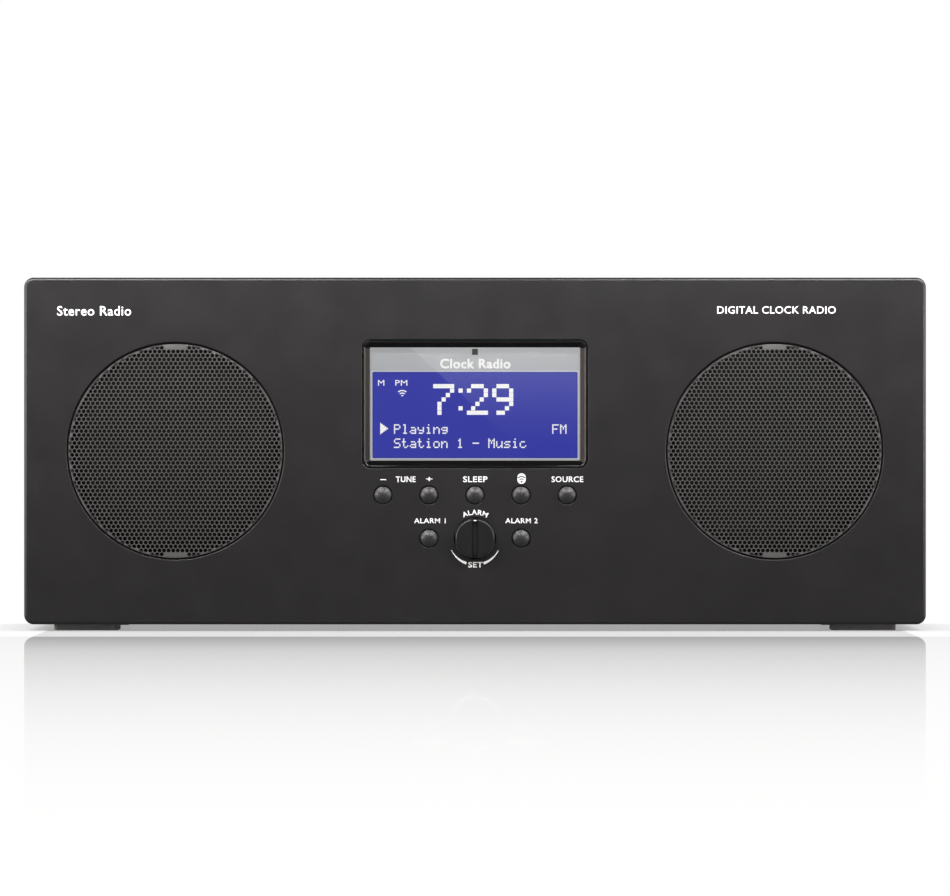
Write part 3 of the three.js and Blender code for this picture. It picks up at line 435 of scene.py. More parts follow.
@dataclass(frozen=True)
class Lettering:
    """A line of printed letters, as tall as its capitals say."""

    text: str
    capitals: float
    middle: tuple[float, float]
    width: float = 0.0
    weight: float = 0.0
    spacing: float = 1.06
    align: Align = Align.CENTRE
    arc: float = 0.0

    def shape(self, thickness: float) -> tuple[np.ndarray, list[tuple[int, ...]]]:
        """The letters as flat solids, in u, v and thickness.

        A line with an arc follows a circle about its own middle: a point goes to radius arc + v, at the angle
        u over arc from straight up or, for a negative arc, from straight down.

        Args:
            thickness: How thick the letters are.

        Returns:
            The points and the faces.
        """
        curve = bpy.data.curves.new("lettering", "FONT")
        curve.body, curve.size = self.text, self.capitals / 0.729
        curve.space_character = self.spacing
        curve.extrude, curve.offset = thickness / 2, self.weight * self.capitals
        curve.resolution_u = 3
        source = bpy.data.objects.new("lettering", curve)
        bpy.context.scene.collection.objects.link(source)
        bpy.context.view_layer.update()
        mesh = bpy.data.meshes.new_from_object(source.evaluated_get(bpy.context.evaluated_depsgraph_get()))
        points = np.zeros(len(mesh.vertices) * 3)
        mesh.vertices.foreach_get("co", points)
        faces = [tuple(face.vertices) for face in mesh.polygons]
        bpy.data.objects.remove(source)
        points = points.reshape(-1, 3)
        low, high = points.min(0), points.max(0)
        points[:, 0] -= low[0] + self.align.value * (high[0] - low[0])
        if self.width:
            points[:, 0] *= self.width / (high[0] - low[0])
        points[:, 1] -= self.capitals / 2
        if self.arc:
            radius, angle = self.arc + points[:, 1], points[:, 0] / self.arc
            points[:, 0], points[:, 1] = radius * np.sin(angle), radius * np.cos(angle)
        points[:, :2] += self.middle
        return points, faces


def print_on(skin: Skin, seat: Seat, lines: Sequence[Lettering], thickness: float = 0.04) -> None:
    """Lays lines of lettering on a place, just proud of it.

    Args:
        skin: The surface that takes them.
        seat: The place, whose face they lie on.
        lines: The lines.
        thickness: How proud they stand.
    """
    for line in lines:
        points, faces = line.shape(thickness)
        skin.add(seat.points(points[:, :2], -0.01 - thickness / 2 - points[:, 2]), faces)


# ---------------------------------------------------------------- finishes


class Wire:
    """A socket of a material that takes part in sums."""

    def __init__(self, tree: bpy.types.NodeTree, socket: bpy.types.NodeSocket) -> None:
        """Wraps a node's output."""
        self.tree = tree
        self.socket = socket

    def math(self, operation: str, *others: "Wire | float", clamp: bool = False) -> "Wire":
        """This value and others through one Math node."""
        node = self.tree.nodes.new("ShaderNodeMath")
        node.operation, node.use_clamp = operation, clamp
        for socket, value in zip(node.inputs, (self, *others)):
            if isinstance(value, Wire):
                self.tree.links.new(value.socket, socket)
            else:
                socket.default_value = value
        return Wire(self.tree, node.outputs[0])

    def _reversed(self, operation: str, other: float) -> "Wire":
        """A number and this value through one Math node, the number first."""
        node = self.tree.nodes.new("ShaderNodeMath")
        node.operation = operation
        node.inputs[0].default_value = other
        self.tree.links.new(self.socket, node.inputs[1])
        return Wire(self.tree, node.outputs[0])

    def __add__(self, other: "Wire | float") -> "Wire":
        """Sum."""
        return self.math("ADD", other)

    __radd__ = __add__

    def __sub__(self, other: "Wire | float") -> "Wire":
        """Difference."""
        return self.math("SUBTRACT", other)

    def __rsub__(self, other: float) -> "Wire":
        """A number less this value."""
        return self._reversed("SUBTRACT", other)

    def __mul__(self, other: "Wire | float") -> "Wire":
        """Product."""
        return self.math("MULTIPLY", other)

    __rmul__ = __mul__

    def __truediv__(self, other: "Wire | float") -> "Wire":
        """Quotient."""
        return self.math("DIVIDE", other)

    def __rtruediv__(self, other: float) -> "Wire":
        """A number over this value."""
        return self._reversed("DIVIDE", other)

    def __pow__(self, power: float) -> "Wire":
        """Power."""
        return self.math("POWER", power)

    def __abs__(self) -> "Wire":
        """Size without sign."""
        return self.math("ABSOLUTE")

    def clamped(self) -> "Wire":
        """The value, kept from 0 to 1."""
        return self.math("ADD", 0.0, clamp=True)

    def most(self, other: "Wire | float") -> "Wire":
        """The larger of two values."""
        return self.math("MAXIMUM", other)

    def step(self, low: float, high: float) -> "Wire":
        """A smooth step from 0 at low to 1 at high."""
        node = self.tree.nodes.new("ShaderNodeMapRange")
        node.interpolation_type = "SMOOTHSTEP"
        node.inputs["From Min"].default_value = low
        node.inputs["From Max"].default_value = high
        self.tree.links.new(self.socket, node.inputs["Value"])
        return Wire(self.tree, node.outputs["Result"])


class Recipe:
    """A material, or the world, while its nodes are put together."""

    def __init__(self, name: str, holder: Any = None) -> None:
        """Starts an empty node tree, on a new material unless a holder is given."""
        self.holder = holder or bpy.data.materials.new(name)
        self.holder.use_nodes = True
        self.tree = self.holder.node_tree
        self.tree.nodes.clear()

    def node(self, kind: str, settings: dict[str, Any] | None = None, **sockets: Any) -> bpy.types.Node:
        """Adds a node.

        Args:
            kind: The node's type, without its common prefix.
            settings: What is set on the node itself, or its ramp's stops.
            sockets: Values or links, by socket name with _ for a space, or by number after an i.

        Returns:
            The node.
        """
        made = self.tree.nodes.new("ShaderNode" + kind)
        for name, value in (settings or {}).items():
            setattr(made, name, value)
        for name, value in sockets.items():
            key = int(name[1:]) if name[1:].isdigit() else name.replace("_", " ")
            socket = made.inputs[key]
            if isinstance(value, Wire):
                self.tree.links.new(value.socket, socket)
            elif isinstance(value, tuple) and socket.type == "RGBA":
                socket.default_value = (*value, 1.0)
            else:
                socket.default_value = value
        return made

    def wire(self, node: bpy.types.Node, output: str | int = 0) -> Wire:
        """One of a node's outputs."""
        return Wire(self.tree, node.outputs[output])

    def place(self, stretch: tuple[float, float, float] = (1, 1, 1)) -> Wire:
        """The piece's own coordinates, stretched along each axis."""
        coordinates = self.wire(self.node("TexCoord"), "Object")
        return self.wire(self.node("Mapping", Vector=coordinates, Scale=stretch))

    def axes(self) -> tuple[Wire, Wire, Wire]:
        """The piece's own X, Y and Z, in metres."""
        parts = self.node("SeparateXYZ", Vector=self.wire(self.node("TexCoord"), "Object"))
        return self.wire(parts, 0), self.wire(parts, 1), self.wire(parts, 2)

    def noise(self, place: Wire, size: float, detail: float = 2.0, rough: float = 0.55) -> Wire:
        """Soft noise whose blots are about as wide as size, in millimetres."""
        made = self.node("TexNoise", Vector=place, Scale=1 / (size * MM), Detail=detail, Roughness=rough)
        return self.wire(made, 0)

    def colours(self, share: Wire, first: "Colour | Wire", second: "Colour | Wire") -> Wire:
        """The first colour where share is 0, and the second where it is 1."""
        made = self.node("Mix", {"data_type": "RGBA"}, i0=share, i6=first, i7=second)
        return self.wire(made, 2)

    def bump(self, height: Wire, depth: float, strength: float = 1.0) -> Wire:
        """A normal bent by a height map whose full range is depth, in millimetres."""
        return self.wire(self.node("Bump", Height=height, Distance=depth * MM, Strength=strength))

    def show(self, shader: bpy.types.Node) -> Any:
        """Ends the tree with a shader, and gives back what holds it."""
        kind = "OutputWorld" if isinstance(self.holder, bpy.types.World) else "OutputMaterial"
        self.node(kind, Surface=self.wire(shader))
        return self.holder


class Pattern(Enum):
    """How a finish varies over its surface."""

    MOULDED = "pebbled like a moulding"
    GRAIN = "long pores of open-grained wood"
    BRUSHED = "fine lines along X"
    PRESSED = "short crossing fibres"
    POLISHED = "faint waves and specks of dust"


@dataclass(frozen=True)
class Finish:
    """One finish: its two colours, how rough it is, and the pattern that mixes them."""

    name: str
    colour: Colour
    shade: Colour
    roughness: tuple[float, float]
    pattern: Pattern = Pattern.MOULDED
    size: float = 0.5
    relief: float = 0.02
    metallic: float = 0.0
    specular: float = 0.5
    coat: float = 0.0
    coat_roughness: float = 0.08

    def height(self, recipe: Recipe) -> tuple[Wire, Wire]:
        """The finish's relief and its broad variation, both from 0 to 1.

        Args:
            recipe: The material under way.

        Returns:
            The relief and the variation.
        """
        along = {
            Pattern.GRAIN: (0.05, 1.0, 0.05),
            Pattern.BRUSHED: (0.02, 1.0, 1.0),
        }.get(self.pattern, (1.0, 1.0, 1.0))
        place = recipe.place(along)
        broad = recipe.noise(recipe.place(), self.size * 24, 3)
        fine = recipe.noise(place, self.size, 3)
        if self.pattern is Pattern.GRAIN:
            pores = recipe.noise(place, self.size * 0.45, 1).step(0.52, 0.66)
            return fine * 0.45 - pores * 0.8, recipe.noise(place, self.size * 5, 3) * 0.6 + broad * 0.4
        if self.pattern is Pattern.PRESSED:
            cross = recipe.noise(recipe.place((1.0, 0.2, 0.2)), self.size, 2)
            other = recipe.noise(recipe.place((0.2, 1.0, 0.2)), self.size, 2)
            return (cross + other) * 0.5, broad
        if self.pattern is Pattern.MOULDED:
            cells = recipe.node(
                "TexVoronoi", {"feature": "SMOOTH_F1"}, Vector=place, Scale=1 / (self.size * MM)
            )
            return recipe.wire(cells, "Distance") * 0.7 + fine * 0.3, broad
        return fine, broad

    @cache
    def material(self) -> bpy.types.Material:
        """The finish as a material, made once."""
        recipe = Recipe(self.name)
        relief, broad = self.height(recipe)
        spots = (relief * 0.55 + broad * 0.45).step(0.25, 0.75)
        low, high = self.roughness
        shader = recipe.node(
            "BsdfPrincipled",
            Base_Color=recipe.colours(spots, self.colour, self.shade),
            Roughness=(broad * 0.6 + relief * 0.4).step(0.2, 0.8) * (high - low) + low,
            Normal=recipe.bump(relief, self.relief),
            Metallic=self.metallic,
        )
        shader.inputs["Specular IOR Level"].default_value = self.specular
        shader.inputs["Coat Weight"].default_value = self.coat
        shader.inputs["Coat Roughness"].default_value = self.coat_roughness
        return recipe.show(shader)


@dataclass(frozen=True)
class DisplayField:
    """The lit field behind the characters: blue, with painted shade that darkens it along its borders."""

    middle: tuple[float, float]
    half: tuple[float, float]
    blue: Colour = (0.037, 0.044, 0.372)
    # painted shade: the darker blue that the field turns to within fade of its edges
    border: Colour = (0.026, 0.03, 0.26)
    fade: float = 0.7

    def material(self) -> bpy.types.Material:
        """The field as a material."""
        recipe = Recipe("lit_display")
        # painted shade: how near each point lies to the field's edges
        x, _, z = recipe.axes()
        near = [
            abs(axis - centre * MM).step((half - self.fade) * MM, half * MM)
            for axis, centre, half in ((x, self.middle[0], self.half[0]), (z, self.middle[1], self.half[1]))
        ]
        cells = recipe.noise(recipe.place(), 0.42, 1).step(0.35, 0.7)
        share = (near[0].most(near[1]) * 0.8 + cells * 0.06).clamped()
        shader = recipe.node(
            "BsdfPrincipled",
            Base_Color=(0.01, 0.01, 0.05),
            Roughness=0.5,
            Emission_Color=recipe.colours(share, self.blue, self.border),
            Emission_Strength=1.0,
        )
        return recipe.show(shader)


@dataclass(frozen=True)
class LitCharacters:
    """Display characters, which the light behind them makes near white."""

    colour: Colour = (1.0, 1.0, 0.96)

    @cache
    def material(self) -> bpy.types.Material:
        """The characters as a material."""
        recipe = Recipe("lit_characters")
        cells = recipe.noise(recipe.place(), 0.4, 1).step(0.3, 0.75)
        shader = recipe.node(
            "BsdfPrincipled",
            Base_Color=(0.3, 0.3, 0.3),
            Roughness=0.5,
            Emission_Color=recipe.colours(cells, self.colour, tuple(0.9 * c for c in self.colour)),
            Emission_Strength=1.0,
        )
        return recipe.show(shader)


@dataclass(frozen=True)
class ClearLens:
    """Clear moulded acrylic: lets the display through, and reflects sharply by its Fresnel share."""

    index: float = 1.49
    roughness: float = 0.0

    def material(self) -> bpy.types.Material:
        """The lens as a material."""
        recipe = Recipe("clear_acrylic")
        smears = recipe.noise(recipe.place(), 9.0, 2)
        normal = recipe.bump(smears, 0.0002)
        fresnel = recipe.wire(recipe.node("Fresnel", IOR=self.index, Normal=normal))
        clear = recipe.wire(recipe.node("BsdfTransparent", Color=(0.985, 0.985, 0.985)))
        gloss = recipe.wire(recipe.node("BsdfGlossy", Roughness=self.roughness, Normal=normal))
        return recipe.show(recipe.node("MixShader", i0=fresnel, i1=clear, i2=gloss))


@dataclass(frozen=True)
class SilverPrint:
    """Grey ink behind the lens, with a lighter line around the lit field; the ink also glows in its own
    colour, as painted light standing in for the lamp light that the bezel shades off it.
    """

    middle: tuple[float, float]
    half: tuple[float, float]
    grey: Colour = (0.40, 0.41, 0.42)
    line: Colour = (0.56, 0.57, 0.60)
    # painted light: emission strength that stands in for the lamp light the bezel's walls keep off the band
    glow: float = 0.86

    def material(self) -> bpy.types.Material:
        """The ink as a material."""
        recipe = Recipe("silver_print")
        x, _, z = recipe.axes()
        reach = [
            abs(axis - centre * MM) - half * MM
            for axis, centre, half in ((x, self.middle[0], self.half[0]), (z, self.middle[1], self.half[1]))
        ]
        edge_line = 1 - reach[0].most(reach[1]).step(0.25 * MM, 0.4 * MM)
        flakes = recipe.noise(recipe.place(), 0.12, 2)
        tone = recipe.colours(edge_line, self.grey, self.line)
        colour = recipe.colours((flakes * 0.25).clamped(), tone, (0.33, 0.335, 0.345))
        shader = recipe.node(
            "BsdfPrincipled",
            Base_Color=colour,
            Roughness=flakes * 0.2 + 0.35,
            Normal=recipe.bump(flakes, 0.01),
            # painted light: the ink glows in its own colour
            Emission_Color=colour,
            Emission_Strength=self.glow,
        )
        return recipe.show(shader)


class Finishes:
    """Every plain finish of the radio."""

    PANEL = Finish(
        "satin_black_moulding", (0.0080, 0.0071, 0.0078), (0.0118, 0.0106, 0.0114), (0.36, 0.43),
        size=0.42, relief=0.014
    )
    WOOD = Finish(
        "black_stained_ash", (0.010, 0.0092, 0.0088), (0.021, 0.0185, 0.0170), (0.46, 0.64),
        Pattern.GRAIN, size=0.35, relief=0.05
    )
    CONTROL = Finish(
        "button_moulding", (0.016, 0.0155, 0.016), (0.025, 0.024, 0.024), (0.36, 0.46), size=0.22,
        relief=0.008
    )
    KNOB = Finish(
        "knob_moulding", (0.0045, 0.0043, 0.0045), (0.0075, 0.0072, 0.0072), (0.3, 0.4), size=0.22,
        relief=0.008
    )
    GLOSS = Finish(
        "gloss_black_moulding", (0.0022, 0.0020, 0.0020), (0.0036, 0.0032, 0.0030), (0.07, 0.13),
        Pattern.POLISHED, size=0.6, relief=0.002
    )
    GRILLE = Finish(
        "black_coated_steel", (0.120, 0.115, 0.113), (0.155, 0.149, 0.147), (0.42, 0.55), size=0.2,
        relief=0.006, metallic=0.55
    )
    CLOTH = Finish(
        "acoustic_cloth", (0.002, 0.002, 0.002), (0.004, 0.004, 0.004), (0.9, 1.0), Pattern.PRESSED,
        size=0.2, relief=0.02
    )
    INK = Finish("white_print", (0.92, 0.92, 0.91), (0.84, 0.84, 0.83), (0.45, 0.6), size=0.12, relief=0.004)
    DARK_INK = Finish(
        "black_print", (0.003, 0.003, 0.003), (0.005, 0.005, 0.005), (0.6, 0.8), size=0.12, relief=0.004
    )
    RUBBER = Finish(
        "grey_rubber", (0.40, 0.40, 0.402), (0.48, 0.48, 0.48), (0.62, 0.8), size=0.3, relief=0.02
    )
    CONE = Finish(
        "pressed_paper", (0.022, 0.021, 0.020), (0.045, 0.043, 0.040), (0.7, 0.9), Pattern.PRESSED,
        size=0.5, relief=0.05
    )
    STEEL = Finish(
        "zinc_plated_steel", (0.46, 0.46, 0.45), (0.60, 0.60, 0.58), (0.24, 0.42), Pattern.BRUSHED,
        size=0.2, relief=0.006, metallic=1.0
    )
    BLACK_STEEL = Finish(
        "black_oxide_steel", (0.045, 0.045, 0.047), (0.07, 0.07, 0.072), (0.3, 0.45), size=0.15,
        relief=0.006, metallic=0.8
    )
    SCREW = Finish(
        "black_zinc_steel", (0.16, 0.16, 0.165), (0.24, 0.24, 0.24), (0.25, 0.4), size=0.15,
        relief=0.006, metallic=0.9
    )
    CHROME = Finish(
        "bright_chrome", (0.78, 0.79, 0.80), (0.70, 0.71, 0.72), (0.05, 0.14), Pattern.BRUSHED,
        size=0.15, relief=0.0015, metallic=1.0
    )
    FERRITE = Finish("ferrite", (0.035, 0.036, 0.040), (0.07, 0.07, 0.075), (0.5, 0.7), size=0.4, relief=0.02)
    BOARD = Finish(
        "green_board", (0.010, 0.085, 0.035), (0.018, 0.125, 0.055), (0.28, 0.42), Pattern.PRESSED,
        size=0.6, relief=0.01
    )
    SOCKET = Finish(
        "socket_moulding", (0.016, 0.016, 0.017), (0.024, 0.024, 0.025), (0.3, 0.45), size=0.25,
        relief=0.01
    )
    RIBBON = Finish(
        "flat_cable", (0.36, 0.37, 0.39), (0.50, 0.50, 0.52), (0.4, 0.55), Pattern.BRUSHED, size=0.5,
        relief=0.05
    )
    WRAP = Finish(
        "battery_wrap", (0.02, 0.12, 0.05), (0.03, 0.16, 0.07), (0.2, 0.35), Pattern.POLISHED, size=2.0,
        relief=0.03
    )
    DIFFUSER = Finish(
        "white_diffuser", (0.75, 0.78, 0.85), (0.68, 0.7, 0.8), (0.5, 0.6), size=0.6, relief=0.01
    )


# ---------------------------------------------------------------- how a piece joins the radio


def dress(nodes: Sequence[str], finish: bpy.types.Material) -> None:
    """Gives frame pieces a finish.

    Args:
        nodes: The frame's pieces.
        finish: The material.
    """
    for name in nodes:
        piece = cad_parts[name]
        if not piece.material_slots:
            piece.data.materials.append(finish)
        for slot in piece.material_slots:
            slot.material = finish
        log.info("dressed %s in %s", name, finish.name)


def join(
    piece: bpy.types.Object,
    body: str,
    finishes: Sequence[bpy.types.Material],
    stands_for: Sequence[str] = (),
) -> bpy.types.Object:
    """Makes a new piece part of the radio.

    Args:
        piece: The new piece.
        body: The body that carries it.
        finishes: Its materials, in the order of its faces' finishes.
        stands_for: The frame's pieces that it takes the place of.

    Returns:
        The piece.
    """
    for finish in finishes:
        piece.data.materials.append(finish)
    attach(piece, body)
    if stands_for:
        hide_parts(*stands_for)
    log.info("%s rides on %s, %d faces", piece.name, body, len(piece.data.polygons))
    return piece


# ---------------------------------------------------------------- cabinet and panel


@dataclass
class CabinetSleeve:
    """The wooden sleeve: a band with round corners and softened edges, open in its top for the keys."""

    wall: float = 7.0
    corner: float = 3.0
    inner_corner: float = 1.5
    front_round: float = 0.35
    rear_round: float = 1.0
    opening_gap: float = 0.3
    steps: int = 9

    def build(self) -> None:
        """Makes the sleeve."""
        low, high = extent("cabinet_sleeve")
        key_low, key_high = self._key_opening()
        width, height = high[0] - low[0], high[2] - low[2]
        seat = front_seat(0, 0, (low[2] + high[2]) / 2)
        outer = rounded(width, height, self.corner, self.steps)
        inner = rounded(width - 2 * self.wall, height - 2 * self.wall, self.inner_corner, self.steps)
        front = [(g, low[1] + d) for g, d in edge(self.front_round, -1, 3)]
        rear = [(g, high[1] - d) for g, d in reversed(edge(self.rear_round, -1, 5))]
        bore = [(0.4, high[1]), (0.0, high[1] - 0.4), (0.0, low[1] + 0.2), (0.2, low[1])]
        loops = [seat.points(outer(g), y) for g, y in (*front, *rear)]
        loops += [seat.points(inner(g), y) for g, y in bore]
        skin = Skin()
        self._band(skin, np.stack(loops), len(front) - 1, len(front) + len(rear) + 1)
        top, under = high[2], high[2] - self.wall
        spans = (
            (top, width / 2 - self.corner, front[-1][1], rear[0][1], self.front_round),
            (under, width / 2 - self.wall - self.inner_corner, bore[2][1], bore[1][1], 0.0),
        )
        middle = (key_low + key_high) / 2
        hole = rounded(*(key_high - key_low)[:2], 0.9, 5)
        rims = []
        for z, half, y_front, y_rear, growth in spans:
            strip = np.array([(-half, y_front), (half, y_front), (half, y_rear), (-half, y_rear)])
            ring = hole(growth) + middle[:2]
            skin.fill(top_seat(0, 0, z), [border(strip), border(ring)], 0.0)
            rims.append(ring)
        place = top_seat(0, 0, top)
        depths = [(g, d) for g, d in edge(self.front_round, 1, 3)] + [(0.0, self.wall)]
        skin.sweep(np.stack([place.points(hole(g) + middle[:2], d) for g, d in depths]))
        sleeve = skin.mesh("cabinet_sleeve_shell")
        even_shading(sleeve)
        join(sleeve, "root", [Finishes.WOOD.material()], ["cabinet_sleeve"])

    def _key_opening(self) -> tuple[np.ndarray, np.ndarray]:
        """The corners of the opening for the keys' frame, which its flange underneath is wider than."""
        low, high = extent("top_key_frame")
        flange = 3.0 - self.opening_gap
        grow = np.array([flange, flange, 0])
        return low + grow, high - grow

    def _band(self, skin: Skin, loops: np.ndarray, outer_flat: int, inner_flat: int) -> None:
        """The band's quads without its two flat strips on top, which the opening goes through."""
        stations, count = loops.shape[:2]
        index = np.arange(stations * count).reshape(stations, count)
        index = np.vstack([index, index[:1]])
        index = np.hstack([index, index[:, :1]])
        quads = np.stack([index[:-1, :-1], index[:-1, 1:], index[1:, 1:], index[1:, :-1]], -1)
        keep = np.ones(quads.shape[:2], bool)
        keep[[outer_flat, inner_flat], self.steps - 1] = False
        skin.add(loops, quads[keep])


@dataclass
class FrontPanel:
    """The moulded panel: rounded edges, two round recesses, the display's opening and eight holes."""

    width: float = 286.0
    height: float = 110.0
    thickness: float = 4.0
    corner: float = 3.0
    edge_round: float = 1.0
    recess_depth: float = 3.0
    grille_gap: float = 0.6
    ledge: float = 2.4
    display: tuple[float, float] = (71.6, 40.8)
    button_hole: float = 3.0
    knob_hole: float = 6.6
    rib_depth: float = 6.0
    rib_wall: float = 2.5
    sleeve_wall: float = 7.3

    def build(self) -> None:
        """Makes the panel and the frame behind it that locates it in the sleeve."""
        low, high = extent("front_panel")
        middle = (low + high) / 2
        seat = front_seat(middle[0], low[1], middle[2])
        rim = [*edge(self.edge_round, -1, 7), (0.0, self.thickness - 0.3), (-0.3, self.thickness)]
        outline = rounded(self.width, self.height, self.corner, 10)
        skin = Skin()
        skin.plate(
            seat, (outline, rim), [*self._recesses(middle), self._window(middle), *self._holes(middle)]
        )
        panel = skin.mesh("front_panel_shell")
        even_shading(panel)
        join(panel, "root", [Finishes.PANEL.material()], ["front_panel"])
        self._locating_frame(seat)

    def _recesses(self, middle: np.ndarray) -> list[tuple[Outline, Stations]]:
        """The two round recesses, each with a ledge and an opening through the panel."""
        made = []
        for node in ("left_grille", "right_grille"):
            low, high = extent(node)
            radius = (high[0] - low[0]) / 2 + self.grille_gap
            place = (low + high) / 2 - middle
            floor = self.grille_gap + self.ledge
            stations = [
                *edge(0.3, 1, 4),
                (0.0, self.recess_depth),
                (-floor, self.recess_depth),
                (-floor, self.thickness),
            ]
            made.append((moved(circle(radius, 192), place[0], place[2]), stations))
        return made

    def _window(self, middle: np.ndarray) -> tuple[Outline, Stations]:
        """The display's opening."""
        place = middle_of("display_bezel") - middle
        outline = moved(rounded(*self.display, 2.7, 8), place[0], place[2])
        return outline, [*edge(0.25, 1, 4), (0.0, self.thickness)]

    def _holes(self, middle: np.ndarray) -> list[tuple[Outline, Stations]]:
        """A round hole with a softened edge for each button and for the knob."""
        made = []
        for name, radius in [*((name, self.button_hole) for name in BUTTONS), ("alarm_knob", self.knob_hole)]:
            place = middle_of(name) - middle
            stations = [*edge(0.22, 1, 4), (0.0, self.thickness)]
            made.append((moved(circle(radius, 72), place[0], place[2]), stations))
        return made

    def _locating_frame(self, seat: Seat) -> None:
        """The rib that runs around the inside of the sleeve."""
        reach = 2 * self.sleeve_wall
        outline = rounded(self.width - reach, self.height - reach, 1.2, 5)
        start, end = self.thickness - 0.05, self.thickness + self.rib_depth
        stations = [(0.0, start), (0.0, end - 0.4), (-0.4, end)]
        stations += [(-self.rib_wall + 0.3, end), (-self.rib_wall, end - 0.3), (-self.rib_wall, start)]
        skin = Skin()
        skin.sweep(np.stack([seat.points(outline(g), d) for g, d in stations]), closed=True)
        join(skin.mesh("panel_locating_frame"), "root", [Finishes.PANEL.material()])


BUTTONS = (
    "tune_down_button",
    "tune_up_button",
    "sleep_button",
    "pairing_button",
    "source_button",
    "alarm_1_button",
    "alarm_2_button",
)


@dataclass
class Grille:
    """A punched steel disc: round holes in staggered rows, with a rounded rim that is turned back."""

    node: str
    pitch: float = 1.457
    hole: float = 0.65
    sheet: float = 1.0
    rim_round: float = 0.08
    rim_web: float = 0.04
    rim_wall: float = 0.6

    def build(self) -> None:
        """Makes the disc."""
        low, high = extent(self.node)
        middle = (low + high) / 2
        seat = front_seat(middle[0], low[1], middle[2])
        radius, depth = (high[0] - low[0]) / 2, high[1] - low[1]
        whole = radius - self.rim_round - self.pitch / math.sqrt(3)
        centres = self._centres(0.0, whole)
        brim = radius - self.rim_round - self.rim_web
        outermost = self._centres(whole, brim)
        skin = Skin()
        self._cells(skin, seat, centres)
        rings = self._ring(outermost, False)
        rings *= np.minimum(1.0, brim / np.hypot(rings[..., :1], rings[..., 1:]))
        cuts = [self._outline(centres), *(border(ring) for ring in rings)]
        rim = circle(radius, 192)
        skin.fill(seat, [border(rim(-self.rim_round)), *cuts], 0.0)
        skin.fill(seat, [border(rim(-0.05)), *cuts], self.sheet)
        for ring in rings:
            skin.sweep(np.stack([seat.points(ring, 0.0), seat.points(ring, self.sheet)]))
        profile = [*edge(self.rim_round, -1, 4), (0.0, self.sheet - 0.05), (-0.05, self.sheet)]
        skin.sweep(np.stack([seat.points(rim(g), d) for g, d in profile]))
        lip = [
            (-0.02, self.sheet - 0.02),
            (-0.02, depth),
            (-self.rim_wall, depth),
            (-self.rim_wall, self.sheet - 0.02),
        ]
        skin.sweep(np.stack([seat.points(rim(g), d) for g, d in lip]), closed=True)
        cloth = rim(-self.rim_wall - 0.2)
        for layer in (depth - 0.35, depth - 0.05):
            skin.fill(seat, [border(cloth)], layer, 1)
        skin.sweep(np.stack([seat.points(cloth, depth - 0.35), seat.points(cloth, depth - 0.05)]), 1)
        disc = skin.mesh(self.node + "_disc")
        join(disc, "root", [Finishes.GRILLE.material(), Finishes.CLOTH.material()], [self.node])

    def _centres(self, inner: float, outer: float) -> np.ndarray:
        """Hole middles: rows pitch times half the root of three apart, every other one half a pitch over."""
        count = int(outer / self.pitch) + 3
        row, column = np.meshgrid(np.arange(-count, count + 1), np.arange(-count, count + 1))
        x = (column + 0.5 * (row % 2)) * self.pitch
        z = row * self.pitch * math.sqrt(3) / 2
        centres = np.stack([x.ravel(), z.ravel()], -1)
        reach = np.hypot(*centres.T)
        return centres[(reach >= inner) & (reach < outer)]

    def _ring(self, centres: np.ndarray, hexagon: bool) -> np.ndarray:
        """Twelve points around each middle: on its hole, or on the six-sided cell around it.

        The cell's corners lie at pitch over the root of three, and the middles of its sides at half the
        pitch.
        """
        angle = np.arange(12) * np.pi / 6
        reach = np.where(np.arange(12) % 2, self.pitch / math.sqrt(3), self.pitch / 2)
        reach = reach if hexagon else np.full(12, self.hole)
        return centres[:, None, :] + np.stack([reach * np.cos(angle), reach * np.sin(angle)], -1)

    def _cells(self, skin: Skin, seat: Seat, centres: np.ndarray) -> None:
        """Front, wall and back of the sheet around each hole."""
        cell, hole = self._ring(centres, True), self._ring(centres, False)
        layers = [
            seat.points(cell, 0.0),
            seat.points(hole, 0.0),
            seat.points(hole, self.sheet),
            seat.points(cell, self.sheet),
        ]
        k = np.arange(12)
        after = (k + 1) % 12
        quads = [
            np.stack([k + 12 * a, after + 12 * a, after + 12 * a + 12, k + 12 * a + 12], -1) for a in range(3)
        ]
        faces = np.concatenate(quads)[None] + (np.arange(len(centres)) * 48)[:, None, None]
        skin.add(np.concatenate(layers, 1), faces.reshape(-1, 4))

    def _outline(self, centres: np.ndarray) -> np.ndarray:
        """The sides of cells that no neighbour shares."""
        cell = self._ring(centres, True)
        sides = np.stack([cell, np.roll(cell, -1, 1)], 2).reshape(-1, 2, 2)
        middles = np.round(sides.mean(1), 3)
        _, where, count = np.unique(middles, axis=0, return_inverse=True, return_counts=True)
        return sides[count[where.ravel()] == 1]


# ---------------------------------------------------------------- display

